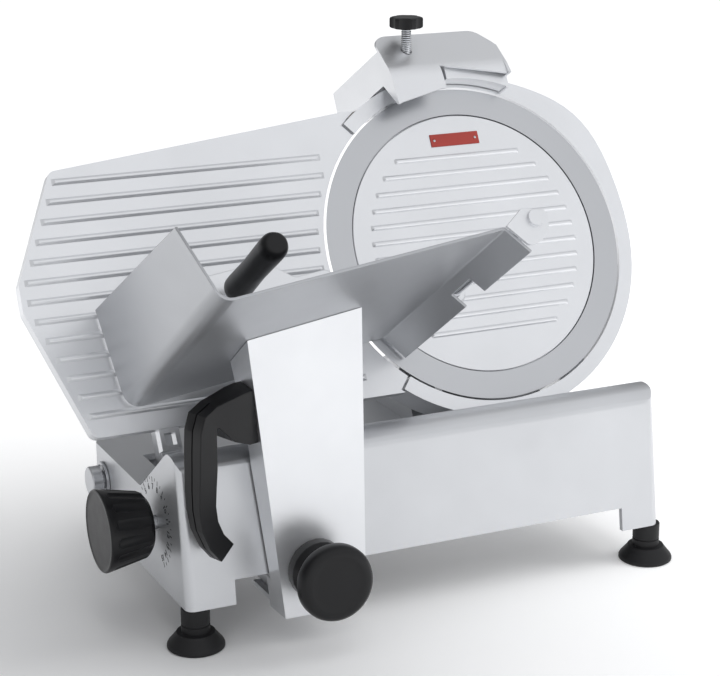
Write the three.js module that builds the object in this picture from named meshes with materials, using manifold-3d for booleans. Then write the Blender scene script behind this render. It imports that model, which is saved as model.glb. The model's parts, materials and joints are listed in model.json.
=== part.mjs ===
import * as THREE from 'three';
import { mergeVertices } from 'three/addons/utils/BufferGeometryUtils.js';
import Module from 'manifold-3d';

const wasm = await Module();
wasm.setup();

// Gravity-feed slicer. Sizes are millimetres.
// X is the carriage's travel, -Y faces the person who pushes it, Z is up and the table is z = 0.
// The blade's centre stands over x = 0, y = 0. In the blade's own frame X is the same,
// Y runs up the leaning blade and Z points out of its front face, which is at zero.

const fit = { running: 0.3, seat: 0.3, overrun: 30, weld: 0.001 };
const facets = { fine: 72, round: 40, medium: 24, small: 14, corner: 5 };
const slope = {
  blade: THREE.MathUtils.degToRad(28.8),
  beamFront: THREE.MathUtils.degToRad(8),
  trayFloor: THREE.MathUtils.degToRad(34.2),
  trayRoll: THREE.MathUtils.degToRad(7.4),
  column: THREE.MathUtils.degToRad(2.9),
  flange: THREE.MathUtils.degToRad(58),
};

const blade = {
  radius: 150, ring: 124.8, behindNose: 10.446, bevel: 4, edge: 0.8, dish: 4.2, back: 7.2,
  rimBack: 1.6, bore: 15, webRadius: 118,
};
const cover = { gap: 0.8, thickness: 3.4, chamfer: 1, ridgeHeight: 2, ridgeWidth: 5, ridgeTop: 2,
  ridgeMargin: 11,
  ridgePitch: 17.2, ridgeRows: 13 };
const shaft = {
  flange: 34, flangeBack: 12, radius: 12.5, hollow: 6.6, back: 80, pulley: 50, pulleyFront: 61,
    pulleyBack: 77,
};
const bearing = { outer: 23.5, width: 11, front: 31, rear: 48 };
const tieRod = { radius: 5, back: 103 };
const coverKnob = { radius: 24, length: 20, lobes: 6, lobeDepth: 2.5 };
const guard = {
  gap: 1.8, width: 13.7, spokeWidth: 30, spokeInner: 47, plate: 6, lobe: 12,
};
const base = {
  left: -350, right: 117, front: -150, back: 165, bottom: 36.5, beamBottom: 58, wall: 5, deck: 112,
  noseTop: 165, noseBack: -108, noseRadius: 17, slopeEnd: -38, slopeRadius: 12, backRadius: 14,
  cornerStart: 86, cornerEnd: -312, frontRound: 8,
  legLeft: 44, legRight: 40, bossRadius: 11, planRadius: 6,
};
const tower = {
  front: 37, back: 52, footHalf: 55, sink: 11.8, hub: 38, bossFront: 30, bossBack: 60, armHalf: 22,
  armTop: 2, armCentre: -20, headDepth: 66, headHeight: 26,
};
const housing = { half: 62, front: 85, back: 200, roof: -72, wall: 4, edge: 10 };
const vents = { count: 7, width: 4, height: 30, pitch: 12, x: -150, z: 70 };
const motor = {
  drop: 122, radius: 42, back: 186, shaft: 6.5, pulley: 17, endBell: 34, endBellLength: 12, shaftDepth: 24,
};
const belt = { thickness: 3, width: 12 };
const beltCover = { margin: 3.5, wall: 2.5, back: 84, shaftHole: 10 };
const foot = {
  flare: 25, flareTop: 17, neck: 12.5, height: 36.2, flareHeight: 14, rim: 3, inset: 11, insetRight: 7,
    rearInset: 62, rearBack: 26,
  stud: 5, studDepth: 8,
};
const rail = { radius: 10, y: -113, z: 72, barHalf: 6, barY: -62, barZ: 52, seatDepth: 2.5 };
const block = {
  left: -265, right: -194, front: -135, back: -90, top: 90, bush: 14, bushLength: 20, rollerRadius: 8,
  rollerWidth: 10, pinRadius: 3, pinHeadRadius: 6, pinHead: 3,
};
const column = {
  topLeft: -299, topRight: -195, bottomLeft: -272, bottomRight: -197, frontAtTop: -163, topDrop: 2,
    bottomZ: 27, wall: 3,
  depth: 33, topDepth: 58, beamGap: 3, footThickness: 4, footLift: 2, footBack: -100, kneeDrop: 98,
};
const tray = {
  cornerX: -363.6, cornerY: -55.4, cornerDrop: 94.5, width: 250, length: 268, sheet: 2.5, bend: 12,
    wallBack: 89,
  wallFront: 72, wallFrontEnd: 240, flange: 29, bladeGap: 4, notchFrom: 139, notchTo: 178, notchTop: 13,
};
const rod = { out: 27, up: -0.5, radius: 7, start: 24, bracket: 3, bracketRound: 14, boltRadius: 7,
  boltHead: 3, plateReach: 41, plateRound: 5 };
const pusher = {
  at: 85, bush: 11.5, bushLength: 40, bushBack: 20, bushCollar: 5, sleeve: 3, eye: 14, pad: 34,
    armHeight: 14, armTop: 22, armWidth: 14, plateLeft: 66, plateRight: 186,
  plateTop: 72, plateLow: 52, plateBottom: 4, plate: 6, stepFrom: 128, stepTo: 150, corner: 10,
  handleE: 88, handleUp: 50,
  stem: 6, stemLength: 14, handle: 12, handleLength: 108, handleWaist: 10.6, handleEdge: 3,
};
const grip = { width: 11, depth: 13, hub: 25, hubDepth: 26, hubX: -303, hubY: -154, hubDrop: 74, reach: 47,
  bulge: 35, drop: 112 };
const lock = {
  x: -243, z: 68, collar: 26, collarNose: 19, collarLength: 22, ring: 24, ringLength: 6, neck: 13,
    neckLength: 8,
  disc: 33, discLength: 17, discRound: 5, stud: 6,
};
const gauge = {
  front: 2, plate: 6, rim: 6, back: 15, left: -438, topLeftX: -393, topLeft: 106, topRightX: -108,
    topRight: 137,
  shoulder: 8, knee: -16, bottomLeftX: -397, bottom: -131, bottomRightX: -92, bladeGap: 2, corner: 8,
  ridgeHeight: 1.8, ridgeWidth: 6, ridgeTop: 2.4, ridgeFirst: 96, ridgeLast: -112, ridgeRows: 13,
  ridgeMargin: 5,
  ridgeEnd: -138, guardGap: 1.2, travel: 15, lugLeft: -339, lugRight: -321, lugBottom: -150, lugWindow: 4,
};
const gaugeSlide = {
  x: -307, half: 10, rodAbove: 11.6, rodRadius: 8, rodFront: 40, rodBack: 126, ear: 6, earHalf: 16,
    blockFront: 62,
  blockBack: 98, blockHalf: 15, neckFront: 75, neckBack: 95, webTop: -92, webBottom: -112, padHalf: 30,
  padTop: -62,
  padBottom: -118, pad: 6, slotGap: 5,
};
const dial = {
  y: -76, z: 92, shaft: 6, knobBase: 24, knobFace: 35.5, knobLength: 52, knobGap: 4, flutes: 16,
    fluteDepth: 2, faceRound: 3,
  camFrom: -334, camTo: -325, camSmall: 14, camRise: 15, camSweep: THREE.MathUtils.degToRad(300), nose: 4,
};
const powerSwitch = { y: 64, z: 83, button: 14, buttonOut: 15, bezel: 17, bezelOut: 3, body: 11,
  bodyLength: 26, travel: 3,
  flangeOut: 2, stem: 7.7, edge: 1 };
// Heights of the sharpener are taken from the blade's rim.
const sharpener = {
  left: -62, right: 62, front: 28, sheet: 3, bend: 14, bendN: 24, bendRadius: 40, roofTop: 57, roofN: 0,
  flapLeft: -18.5, flapMid: -7, flapMidX: -14, leftCorner: 14, cornerX: 46, cornerDrop: 19, cornerRound: 16,
  windowLeft: -9, windowLow: 3, windowTop: 17, hoodFront: 8,
  tail: -108, tailTop: 40, tailBottom: 15, tailRight: 30, post: 8, postX: -20, postN: -50, postFoot: -22,
  postTop: 55, barLeft: -2, barIn: 5, barOut: 22, barBack: 1.5, barFront: 17, cheekLow: 7, cheekLowN: -60,
  cheekStepN: 4,
};
const clampKnob = { radius: 17, length: 10.5, lobes: 5, lobeDepth: 3, stem: 5, stemLength: 21, x: -34,
  rise: 38, seat: 12 };
const stone = { radius: 16, width: 7, shaft: 3.5, grindX: -42, honeX: 10, rise: 20, n: -96, button: 9,
  buttonHeight: 10, travel: 5,
  collar: 3 };
const inlet = { x: 72, z: 74, radius: 11, out: 14, bore: 4, inside: 8 };
const capacitor = { radius: 16, length: 62, y: 60 };
const plateCover = { z: 37.2, thickness: 2, front: -44, slots: 8, slotWidth: 5, slotLength: 46,
  slotPitch: 14, slotX: -40,
  slotY: 60 };

// Shares and angles that follow the sizes above
const share = {
  guardTopSpoke: 0.75, guardLowSpoke: 0.42, guardGap: 0.012, guardRim: 0.05, camDwell: 0.5,
  guardStart: 2.285, guardEnd: -2.255, lobeAngle: 0.68, lobeSpread: 0.5, barFrom: 1.05, barTo: 1.65,
  handleWaist: 0.5, fluteSteps: 4,
  bracketPlate: [[0, -0.017], [0.317, -0.5], [0.585, -0.488], [0.854, -0.317], [1, 0.085], [0.463, 0.256]],
  gripPath: [[0, 0, 0], [-0.27, -0.31, 0.19], [-0.84, -0.74, 0.11], [-1, -0.94, -0.16], [-0.98, -1,
  -0.65], [-0.77, -0.97, -0.88],
    [-0.5, -0.91, -1]],
};

// Sizes that follow from the others
const bladeHeight = base.noseTop + blade.radius * Math.cos(slope.blade) - blade.behindNose;
const guardInner = blade.radius + guard.gap;
const guardRadius = guardInner + guard.width;
const gaugeCut = blade.radius + gauge.bladeGap;
const armTop = blade.radius + tower.armTop;
const towerFoot = (base.deck - bladeHeight) / Math.cos(slope.blade) + tower.front * Math.tan(slope.blade)
  - tower.sink;
const columnTop = bladeHeight - column.topDrop;
const columnKnee = columnTop - column.kneeDrop;
const rodAcross = tray.width + rod.out;

const finish = {
  casting: new THREE.MeshStandardMaterial({ color: 0xc9cacd, roughness: 0.42, metalness: 0.85 }),
  plate: new THREE.MeshStandardMaterial({ color: 0xe3e3e6, roughness: 0.3, metalness: 0.8 }),
  steel: new THREE.MeshStandardMaterial({ color: 0xa9abae, roughness: 0.22, metalness: 1 }),
  chrome: new THREE.MeshStandardMaterial({ color: 0xd8d9dc, roughness: 0.08, metalness: 1 }),
  black: new THREE.MeshStandardMaterial({ color: 0x17181a, roughness: 0.45, metalness: 0 }),
  rubber: new THREE.MeshStandardMaterial({ color: 0x1b1b1c, roughness: 0.75, metalness: 0 }),
  stone: new THREE.MeshStandardMaterial({ color: 0x8e7e70, roughness: 0.95, metalness: 0 }),
  bronze: new THREE.MeshStandardMaterial({ color: 0xa98752, roughness: 0.35, metalness: 1 }),
  enamel: new THREE.MeshStandardMaterial({ color: 0x4a4d52, roughness: 0.5, metalness: 0.3 }),
};

// Solids

function signedVolume(positions, index) {
  const a = new THREE.Vector3();
  const b = new THREE.Vector3();
  const c = new THREE.Vector3();
  let sum = 0;
  for (let i = 0; i < index.length; i += 3) {
    a.fromArray(positions, index[i] * 3);
    b.fromArray(positions, index[i + 1] * 3);
    c.fromArray(positions, index[i + 2] * 3);
    sum += a.dot(b.cross(c));
  }
  return sum;
}

function solid(geometry) {
  const bare = geometry.clone();
  bare.deleteAttribute('normal');
  bare.deleteAttribute('uv');
  const merged = mergeVertices(bare, fit.weld);
  const positions = Float32Array.from(merged.attributes.position.array);
  const all = Array.from(merged.index.array);
  const faces = [];
  for (let i = 0; i < all.length; i += 3) {
    const [a, b, c] = [all[i], all[i + 1], all[i + 2]];
    if (a !== b && b !== c && c !== a) faces.push(a, b, c);
  }
  const inside = signedVolume(positions, faces) < 0;
  const turned = inside ? faces.reverse() : faces;
  const mesh = new wasm.Mesh({ numProp: 3, vertProperties: positions, triVerts: Uint32Array.from(turned) });
  return new wasm.Manifold(mesh);
}

function asSolid(shape) {
  return shape.isBufferGeometry ? solid(shape) : shape;
}

function join(...shapes) {
  return shapes.map(asSolid).reduce((sum, next) => sum.add(next));
}

function cut(shape, ...tools) {
  return tools.map(asSolid).reduce((rest, tool) => rest.subtract(tool), asSolid(shape));
}

function common(...shapes) {
  return shapes.map(asSolid).reduce((sum, next) => sum.intersect(next));
}

function geometryOf(shape) {
  const mesh = asSolid(shape).getMesh();
  const geometry = new THREE.BufferGeometry();
  geometry.setAttribute('position', new THREE.BufferAttribute(Float32Array.from(mesh.vertProperties), 3));
  geometry.setIndex(new THREE.BufferAttribute(Uint32Array.from(mesh.triVerts), 1));
  geometry.computeVertexNormals();
  return geometry;
}

function piece(parent, name, shape, material) {
  const mesh = new THREE.Mesh(geometryOf(shape), material.clone());
  mesh.name = name;
  parent.add(mesh);
  return mesh;
}

// Shapes

function box(x, y, z) {
  const geometry = new THREE.BoxGeometry(x[1] - x[0], y[1] - y[0], z[1] - z[0]);
  return geometry.translate((x[0] + x[1]) / 2, (y[0] + y[1]) / 2, (z[0] + z[1]) / 2);
}

function slab(points, from, to) {
  const shape = new THREE.Shape(points.map(([x, y]) => new THREE.Vector2(x, y)));
  const geometry = new THREE.ExtrudeGeometry(shape, { depth: to - from, bevelEnabled: false, steps: 1 });
  return geometry.translate(0, 0, from);
}

function turning(profile, segments = facets.round) {
  const points = profile.map(([radius, along]) => new THREE.Vector2(radius, along));
  return new THREE.LatheGeometry(points, segments).rotateX(Math.PI / 2);
}

function drum(radius, from, to, segments = facets.medium) {
  return turning([[0, from], [radius, from], [radius, to], [0, to]], segments);
}

function tube(outer, inner, from, to, segments = facets.medium) {
  return turning([[inner, from], [outer, from], [outer, to], [inner, to], [inner, from]], segments);
}

// A shape drawn in the XY plane and drawn out along Z is turned to run along the machine's X:
// its own x and y become the machine's y and z.
function alongX(geometry) {
  const turn = new THREE.Matrix4().makeBasis(
    new THREE.Vector3(0, 1, 0), new THREE.Vector3(0, 0, 1), new THREE.Vector3(1, 0, 0));
  return geometry.applyMatrix4(turn);
}

// The same towards the front: its own x and y become the machine's x and z, and its z points to -Y.
function alongFront(geometry) {
  return geometry.rotateX(Math.PI / 2);
}

function cornerArc(before, at, after, radius) {
  const toBefore = new THREE.Vector2().subVectors(before, at).normalize();
  const toAfter = new THREE.Vector2().subVectors(after, at).normalize();
  const half = Math.acos(THREE.MathUtils.clamp(toBefore.dot(toAfter), -1, 1)) / 2;
  const reach = radius / Math.tan(half);
  const start = at.clone().addScaledVector(toBefore, reach);
  const end = at.clone().addScaledVector(toAfter, reach);
  const middle = toBefore.clone().add(toAfter).normalize();
  const centre = at.clone().addScaledVector(middle, radius / Math.sin(half));
  const from = Math.atan2(start.y - centre.y, start.x - centre.x);
  let sweep = Math.atan2(end.y - centre.y, end.x - centre.x) - from;
  if (sweep > Math.PI) sweep -= 2 * Math.PI;
  if (sweep < -Math.PI) sweep += 2 * Math.PI;
  const points = [];
  for (let i = 0; i <= facets.corner; i += 1) {
    const angle = from + sweep * i / facets.corner;
    points.push([centre.x + radius * Math.cos(angle), centre.y + radius * Math.sin(angle)]);
  }
  return points;
}

// Corners are [x, y] or [x, y, radius].
function outline(corners) {
  const at = corners.map(([x, y]) => new THREE.Vector2(x, y));
  return corners.flatMap(([x, y, radius], i) => {
    if (!radius) return [[x, y]];
    return cornerArc(at[(i + at.length - 1) % at.length], at[i], at[(i + 1) % at.length], radius);
  });
}

// Moves every side of a counter-clockwise outline inwards, or outwards when the distance is negative.
function inset(corners, distance) {
  const at = corners.map(([x, y]) => new THREE.Vector2(x, y));
  return corners.map(([, , radius], i) => {
    const before = at[(i + at.length - 1) % at.length];
    const after = at[(i + 1) % at.length];
    const first = new THREE.Vector2().subVectors(at[i], before).normalize();
    const second = new THREE.Vector2().subVectors(after, at[i]).normalize();
    const turn = first.cross(second);
    const inward = new THREE.Vector2(-first.y, first.x).add(new THREE.Vector2(-second.y,
      second.x)).normalize();
    const shift = distance / Math.sqrt((1 + first.dot(second)) / 2);
    const changed = radius ? Math.max(radius - Math.sign(turn) * distance, 0) : 0;
    return [at[i].x + inward.x * shift, at[i].y + inward.y * shift, changed];
  });
}

function lobed(radius, depth, count, steps) {
  const points = [];
  for (let i = 0; i < steps; i += 1) {
    const angle = 2 * Math.PI * i / steps;
    const reach = radius - depth / 2 + depth / 2 * Math.cos(count * angle);
    points.push([reach * Math.cos(angle), reach * Math.sin(angle)]);
  }
  return points;
}

function ridge(from, to, across, width, top, height, sunk) {
  const half = width / 2;
  const crown = top / 2;
  const low = [[from, -half], [to, -half], [to, half], [from, half]];
  const high = [[from + half, -crown], [to - half, -crown], [to - half, crown], [from + half, crown]];
  const corners = [...low.map(([x, y]) => [x, y + across, -sunk]), ...low.map(([x, y]) => [x, y + across,
    0]),
    ...high.map(([x, y]) => [x, y + across, height])];
  const faces = [2, 1, 0, 3, 2, 0, 8, 9, 10, 8, 10, 11];
  const count = low.length;
  for (const ring of [0, count]) {
    for (let i = 0; i < count; i += 1) {
      const next = (i + 1) % count;
      faces.push(ring + i, ring + next, ring + next + count, ring + i, ring + next + count, ring + i + count);
    }
  }
  const geometry = new THREE.BufferGeometry();
  geometry.setAttribute('position', new THREE.BufferAttribute(Float32Array.from(corners.flat()), 3));
  geometry.setIndex(faces);
  return geometry;
}

function sweep(points, shapePoints, steps) {
  const path = new THREE.CatmullRomCurve3(points.map(([x, y, z]) => new THREE.Vector3(x, y, z)), false,
    'centripetal');
  const shape = new THREE.Shape(shapePoints.map(([x, y]) => new THREE.Vector2(x, y)));
  return new THREE.ExtrudeGeometry(shape, { steps, bevelEnabled: false, extrudePath: path });
}

// Frames

const machine = new THREE.Group();

function frameAt(parent, origin, x, y, z) {
  const group = new THREE.Group();
  group.applyMatrix4(new THREE.Matrix4().makeBasis(x, y, z).setPosition(...origin));
  parent.add(group);
  return group;
}

const unitX = new THREE.Vector3(1, 0, 0);
const bladeUp = new THREE.Vector3(0, Math.sin(slope.blade), Math.cos(slope.blade));
const bladeOut = new THREE.Vector3(0, -Math.cos(slope.blade), Math.sin(slope.blade));
const bladeMatrix = new THREE.Matrix4().makeBasis(unitX, bladeUp, bladeOut).setPosition(0, 0, bladeHeight);
const toBlade = bladeMatrix.clone().invert();
const dialPoint = new THREE.Vector3(0, dial.y, dial.z).applyMatrix4(toBlade);
const rodDrop = -dialPoint.y - gaugeSlide.rodAbove;

function bladeFrame(parent) {
  const group = new THREE.Group();
  group.applyMatrix4(bladeMatrix);
  parent.add(group);
  return group;
}

const floorNormal = new THREE.Vector3(0, Math.sin(slope.trayFloor), Math.cos(slope.trayFloor));
const traySlope = new THREE.Vector3(0, -Math.cos(slope.trayFloor), Math.sin(slope.trayFloor));
const trayAcross = unitX.clone().multiplyScalar(Math.cos(slope.trayRoll))
  .addScaledVector(floorNormal, Math.sin(slope.trayRoll));
const trayDown = traySlope.clone().negate();
const trayUp = new THREE.Vector3().crossVectors(trayAcross, trayDown);
const trayMatrix = new THREE.Matrix4().makeBasis(trayAcross, trayDown, trayUp)
  .setPosition(tray.cornerX, tray.cornerY, bladeHeight - tray.cornerDrop);
const toTray = trayMatrix.clone().invert();

const columnUp = new THREE.Vector3(0, Math.sin(slope.column), Math.cos(slope.column));
const columnOut = new THREE.Vector3(0, -Math.cos(slope.column), Math.sin(slope.column));
const columnMatrix = new THREE.Matrix4().makeBasis(unitX, columnUp, columnOut)
  .setPosition(0, column.frontAtTop, columnTop);
const toColumn = columnMatrix.clone().invert();

function placed(geometry, matrix) {
  return geometry.clone().applyMatrix4(matrix);
}

// Base casting

function frontAt(z) {
  return base.front + (z - base.bottom) * Math.tan(slope.beamFront);
}

function section(bottom) {
  return [
    [base.back, bottom], [base.back, base.deck, base.backRadius], [base.slopeEnd, base.deck,
    base.slopeRadius],
    [base.noseBack, base.noseTop, base.noseRadius],
    [frontAt(base.noseTop), base.noseTop, base.noseRadius], [frontAt(bottom), bottom],
  ];
}

const plan = [
  [base.left, base.front - fit.overrun], [base.right, base.front - fit.overrun],
  [base.right, base.back, base.planRadius], [base.cornerEnd, base.back, base.planRadius],
  [base.left, base.cornerStart, base.planRadius],
];

const housingBack = -housing.back;
const housingFront = -housing.front;
const towerBack = -tower.back;
const towerFront = -tower.front;

// The casting's outer shape under the deck, with its front corners rounded along the leaning front.
function makeOuter() {
  const deep = base.back - base.front;
  const front = slab(outline([[base.left, 0, base.frontRound], [base.right, 0, base.frontRound],
    [base.right, deep * 2], [base.left, deep * 2]]), -fit.overrun, base.noseTop + fit.overrun);
  return common(
    alongX(slab(outline(section(base.bottom)), base.left, base.right)),
    slab(outline(plan), 0, base.noseTop + fit.overrun),
    front.rotateX(-slope.beamFront).translate(0, base.front, base.bottom),
  );
}

function makeBase() {
  const body = makeOuter();
  const room = common(
    alongX(slab(outline(inset(section(base.bottom - fit.overrun), base.wall)), base.left + base.wall,
      base.right - base.wall)),
    slab(outline(inset(plan, base.wall)), -fit.overrun, base.noseTop),
  );
  const above = box([base.left, base.right], [base.front, base.back], [base.bottom, bladeHeight * 2]);
  const shell = slab(outline([
    [-housing.half, -bladeHeight], [housing.half, -bladeHeight], [housing.half, housing.roof,
    housing.edge],
    [-housing.half, housing.roof, housing.edge]]), housingBack, housingFront);
  const motorRoom = slab(outline(inset([
    [-housing.half, -bladeHeight], [housing.half, -bladeHeight], [housing.half, housing.roof,
    housing.edge],
    [-housing.half, housing.roof, housing.edge]], housing.wall)), housingBack + housing.wall,
    housingFront - housing.wall);
  const arm = slab(outline([
    [-tower.footHalf, towerFoot], [tower.footHalf, towerFoot], [tower.hub, 0, tower.hub],
    [tower.armCentre + tower.armHalf, tower.hub, tower.hub / 2], [tower.armCentre + tower.armHalf,
    armTop],
    [tower.armCentre - tower.armHalf, armTop], [tower.armCentre - tower.armHalf, tower.hub,
    tower.hub / 2],
    [-tower.hub, 0, tower.hub]]), towerBack, towerFront);
  const head = box([tower.armCentre - tower.armHalf, tower.armCentre + tower.armHalf],
    [armTop - tower.headHeight, armTop], [-tower.headDepth, towerFront]);
  const boss = drum(tower.hub, -tower.bossBack, -tower.bossFront, facets.round);
  const bearingBore = drum(bearing.outer + fit.seat, -bladeHeight, 0, facets.round);
  const inBlade = (geometry) => placed(geometry, bladeMatrix);
  let casting = join(body, common(inBlade(shell), above), inBlade(arm), inBlade(head), inBlade(boss));
  casting = cut(casting, room, common(inBlade(motorRoom), box([base.left, base.right], [base.front,
    base.back],
    [base.bottom - fit.overrun, bladeHeight])));
  const legs = box([base.left + base.legLeft, base.right - base.legRight], [base.front * 2, rail.y],
    [0, base.beamBottom]);
  const guardSpace = tube(guardRadius + fit.running * 2, guardInner - fit.seat, towerFront, fit.seat,
    facets.fine);
  casting = cut(casting, legs, inBlade(bearingBore), inBlade(guardSpace));
  casting = cut(casting, inBlade(drum(beltCover.shaftHole, housingFront - housing.wall * 2,
    housingFront + housing.wall)
    .translate(0, -motor.drop, 0)));
  casting = cut(casting, inBlade(drum(sharpener.post + fit.seat, sharpener.postFoot,
    tower.armTop + fit.overrun)
    .rotateX(-Math.PI / 2).translate(sharpener.postX, blade.radius, sharpener.postN)));
  const aboveCover = plateCover.z + plateCover.thickness + fit.seat - base.wall / 2;
  const inside = alongX(slab(outline(inset(section(aboveCover), base.wall / 2)), base.left + base.wall / 2,
    base.right - base.wall / 2));
  const bosses = footPlaces().map(([x, y]) => common(
    drum(base.bossRadius, base.bottom, base.noseTop).translate(x, y, 0), body));
  casting = join(casting, ...bosses, common(inBlade(earsShape()), inside));
  const studHoles = footPlaces().map(([x, y]) => drum(foot.stud + fit.seat, 0,
    base.bottom + foot.studDepth + fit.seat)
    .translate(x, y, 0));
  casting = cut(casting, ...studHoles, ...seatPockets());
  const slotHalf = gaugeSlide.half + gaugeSlide.slotGap;
  const slotBox = box([gaugeSlide.x - slotHalf, gaugeSlide.x + slotHalf],
    [gaugeSlide.webTop * 2, gaugeSlide.webBottom / 2],
    [-gaugeSlide.neckBack - gauge.travel - gaugeSlide.slotGap, -gaugeSlide.neckFront + gaugeSlide.slotGap]);
  casting = cut(casting, inBlade(slotBox));
  const ventX = (i) => vents.x + (i - (vents.count - 1) / 2) * vents.pitch;
  const slots = Array.from({ length: vents.count }, (_, i) => box([ventX(i) - vents.width / 2,
    ventX(i) + vents.width / 2],
    [base.back - base.wall * 2, base.back + fit.overrun], [vents.z - vents.height / 2,
    vents.z + vents.height / 2]));
  const inletHole = alongFront(drum(inlet.radius - inlet.bore / 2 + fit.seat, -fit.overrun, fit.overrun))
    .translate(inlet.x, base.back, inlet.z);
  const buttonHole = alongX(drum(powerSwitch.body + fit.seat, -fit.overrun, fit.overrun))
    .translate(base.left, powerSwitch.y, powerSwitch.z);
  const dialHole = alongX(drum(dial.shaft + fit.running, -fit.overrun, fit.overrun / 2))
    .translate(base.left, dial.y, dial.z);
  return cut(casting, ...slots, inletHole, buttonHole, dialHole);
}

function footPlaces() {
  return [
    [base.left + foot.inset, base.front + foot.inset + fit.running], [base.right - foot.insetRight,
    base.front + foot.inset + fit.running],
    [base.left + foot.rearInset, base.back - foot.rearBack], [base.right - foot.rearInset,
    base.back - foot.rearBack],
  ];
}

// The two ears under the deck that hold the gauge plate's guide rod, in the blade's frame.
function earsShape() {
  const bottom = -rodDrop - gaugeSlide.earHalf;
  const side = [gaugeSlide.x - gaugeSlide.earHalf, gaugeSlide.x + gaugeSlide.earHalf];
  const front = box(side, [bottom, gaugeSlide.webBottom], [-gaugeSlide.rodFront - gaugeSlide.ear,
    -gaugeSlide.rodFront]);
  const rear = box(side, [bottom, gaugeSlide.webBottom], [-gaugeSlide.rodBack,
    -gaugeSlide.rodBack + gaugeSlide.ear]);
  const bore = drum(gaugeSlide.rodRadius + fit.seat, -gaugeSlide.rodBack + gaugeSlide.ear / 2,
    -gaugeSlide.rodFront + fit.overrun).translate(gaugeSlide.x, -rodDrop, 0);
  return geometryOf(cut(join(front, rear), bore));
}

// Pockets in the end walls that seat the carriage's round rail and its square guide bar.
function seatPockets() {
  const from = base.left + base.wall - rail.seatDepth;
  const to = base.right - base.wall + rail.seatDepth;
  const round = alongX(drum(rail.radius + fit.seat, from, to)).translate(0, rail.y, rail.z);
  const bar = box([from, to], [rail.barY - rail.barHalf - fit.seat, rail.barY + rail.barHalf + fit.seat],
    [rail.barZ - rail.barHalf - fit.seat, rail.barZ + rail.barHalf + fit.seat]);
  return [round, bar];
}

piece(machine, 'base_casting', makeBase(), finish.casting);

const railEnds = [base.left + base.wall - rail.seatDepth + fit.seat,
  base.right - base.wall + rail.seatDepth - fit.seat];
piece(machine, 'carriage_rail', alongX(drum(rail.radius, ...railEnds)).translate(0, rail.y, rail.z),
  finish.chrome);
piece(machine, 'guide_bar', box(railEnds, [rail.barY - rail.barHalf, rail.barY + rail.barHalf],
  [rail.barZ - rail.barHalf, rail.barZ + rail.barHalf]), finish.steel);

function makeBottomCover() {
  const gap = base.wall + fit.seat;
  const room = common(
    slab(outline(inset(plan, gap)), plateCover.z, plateCover.z + plateCover.thickness),
    box([base.left, base.right], [plateCover.front, base.back - gap], [0, base.deck]));
  const slotAt = (i) => plateCover.slotX + (i - (plateCover.slots - 1) / 2) * plateCover.slotPitch;
  const slots = Array.from({ length: plateCover.slots }, (_, i) => box(
    [slotAt(i) - plateCover.slotWidth / 2, slotAt(i) + plateCover.slotWidth / 2],
    [plateCover.slotY - plateCover.slotLength / 2, plateCover.slotY + plateCover.slotLength / 2], [0,
    base.deck]));
  const round = footPlaces().map(([x, y]) => drum(base.bossRadius + fit.seat, 0, base.deck).translate(x,
    y, 0));
  return cut(room, ...slots, ...round);
}
piece(machine, 'bottom_cover', makeBottomCover(), finish.steel);

const footNames = ['foot_front_left', 'foot_front_right', 'foot_rear_left', 'foot_rear_right'];
function makeFoot() {
  return turning([[0, 0], [foot.flare, 0], [foot.flare, foot.rim], [foot.flareTop, foot.flareHeight],
    [foot.neck, foot.flareHeight], [foot.neck, foot.height], [foot.stud + fit.seat, foot.height],
    [foot.stud + fit.seat, foot.flareHeight], [0, foot.flareHeight]], facets.medium);
}
footPlaces().forEach(([x, y], i) => {
  piece(machine, footNames[i], makeFoot().translate(x, y, 0), finish.rubber);
  piece(machine, `${footNames[i]}_stud`, drum(foot.stud, foot.flareHeight + fit.seat,
    base.bottom + foot.studDepth,
    facets.small).translate(x, y, 0), finish.steel);
});

const inletBody = join(alongFront(tube(inlet.radius, inlet.bore, -inlet.out, -fit.seat)),
  alongFront(tube(inlet.radius - inlet.bore / 2, inlet.bore, -fit.seat * 2, inlet.inside)));
piece(machine, 'power_inlet', geometryOf(inletBody).translate(inlet.x, base.back, inlet.z), finish.black);

const capacitorSolid = alongX(drum(capacitor.radius, -capacitor.length / 2, capacitor.length / 2));
const capacitorFloor = plateCover.z + plateCover.thickness + capacitor.radius + fit.seat;
piece(machine, 'motor_capacitor',
  capacitorSolid.translate(base.right - base.wall - capacitor.length / 2 - fit.seat,
  capacitor.y, capacitorFloor), finish.enamel);

const bezel = join(tube(powerSwitch.bezel, powerSwitch.button + fit.running, fit.seat,
  powerSwitch.bezelOut),
  tube(powerSwitch.bezel, powerSwitch.stem + fit.running, fit.seat, fit.seat + powerSwitch.flangeOut / 2));
const switchFrame = frameAt(machine, [base.left, powerSwitch.y, powerSwitch.z], new THREE.Vector3(0, -1, 0),
  new THREE.Vector3(0, 0, 1), new THREE.Vector3(-1, 0, 0));
piece(switchFrame, 'switch_bezel', bezel, finish.steel);
piece(switchFrame, 'switch_body', drum(powerSwitch.body, -powerSwitch.bodyLength,
  -powerSwitch.travel - fit.running),
  finish.black);
const switchPress = new THREE.Group();
switchFrame.add(switchPress);
const buttonBack = fit.seat * 2 + powerSwitch.flangeOut / 2 + powerSwitch.travel;
piece(switchPress, 'switch_button', turning([[0, 0], [powerSwitch.stem, 0], [powerSwitch.stem, buttonBack],
  [powerSwitch.button, buttonBack], [powerSwitch.button, powerSwitch.buttonOut - powerSwitch.edge],
  [powerSwitch.button - powerSwitch.edge, powerSwitch.buttonOut], [0, powerSwitch.buttonOut]],
  facets.medium),
finish.steel);

// Pieces fixed in the blade's frame

const bladeSide = bladeFrame(machine);

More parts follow.
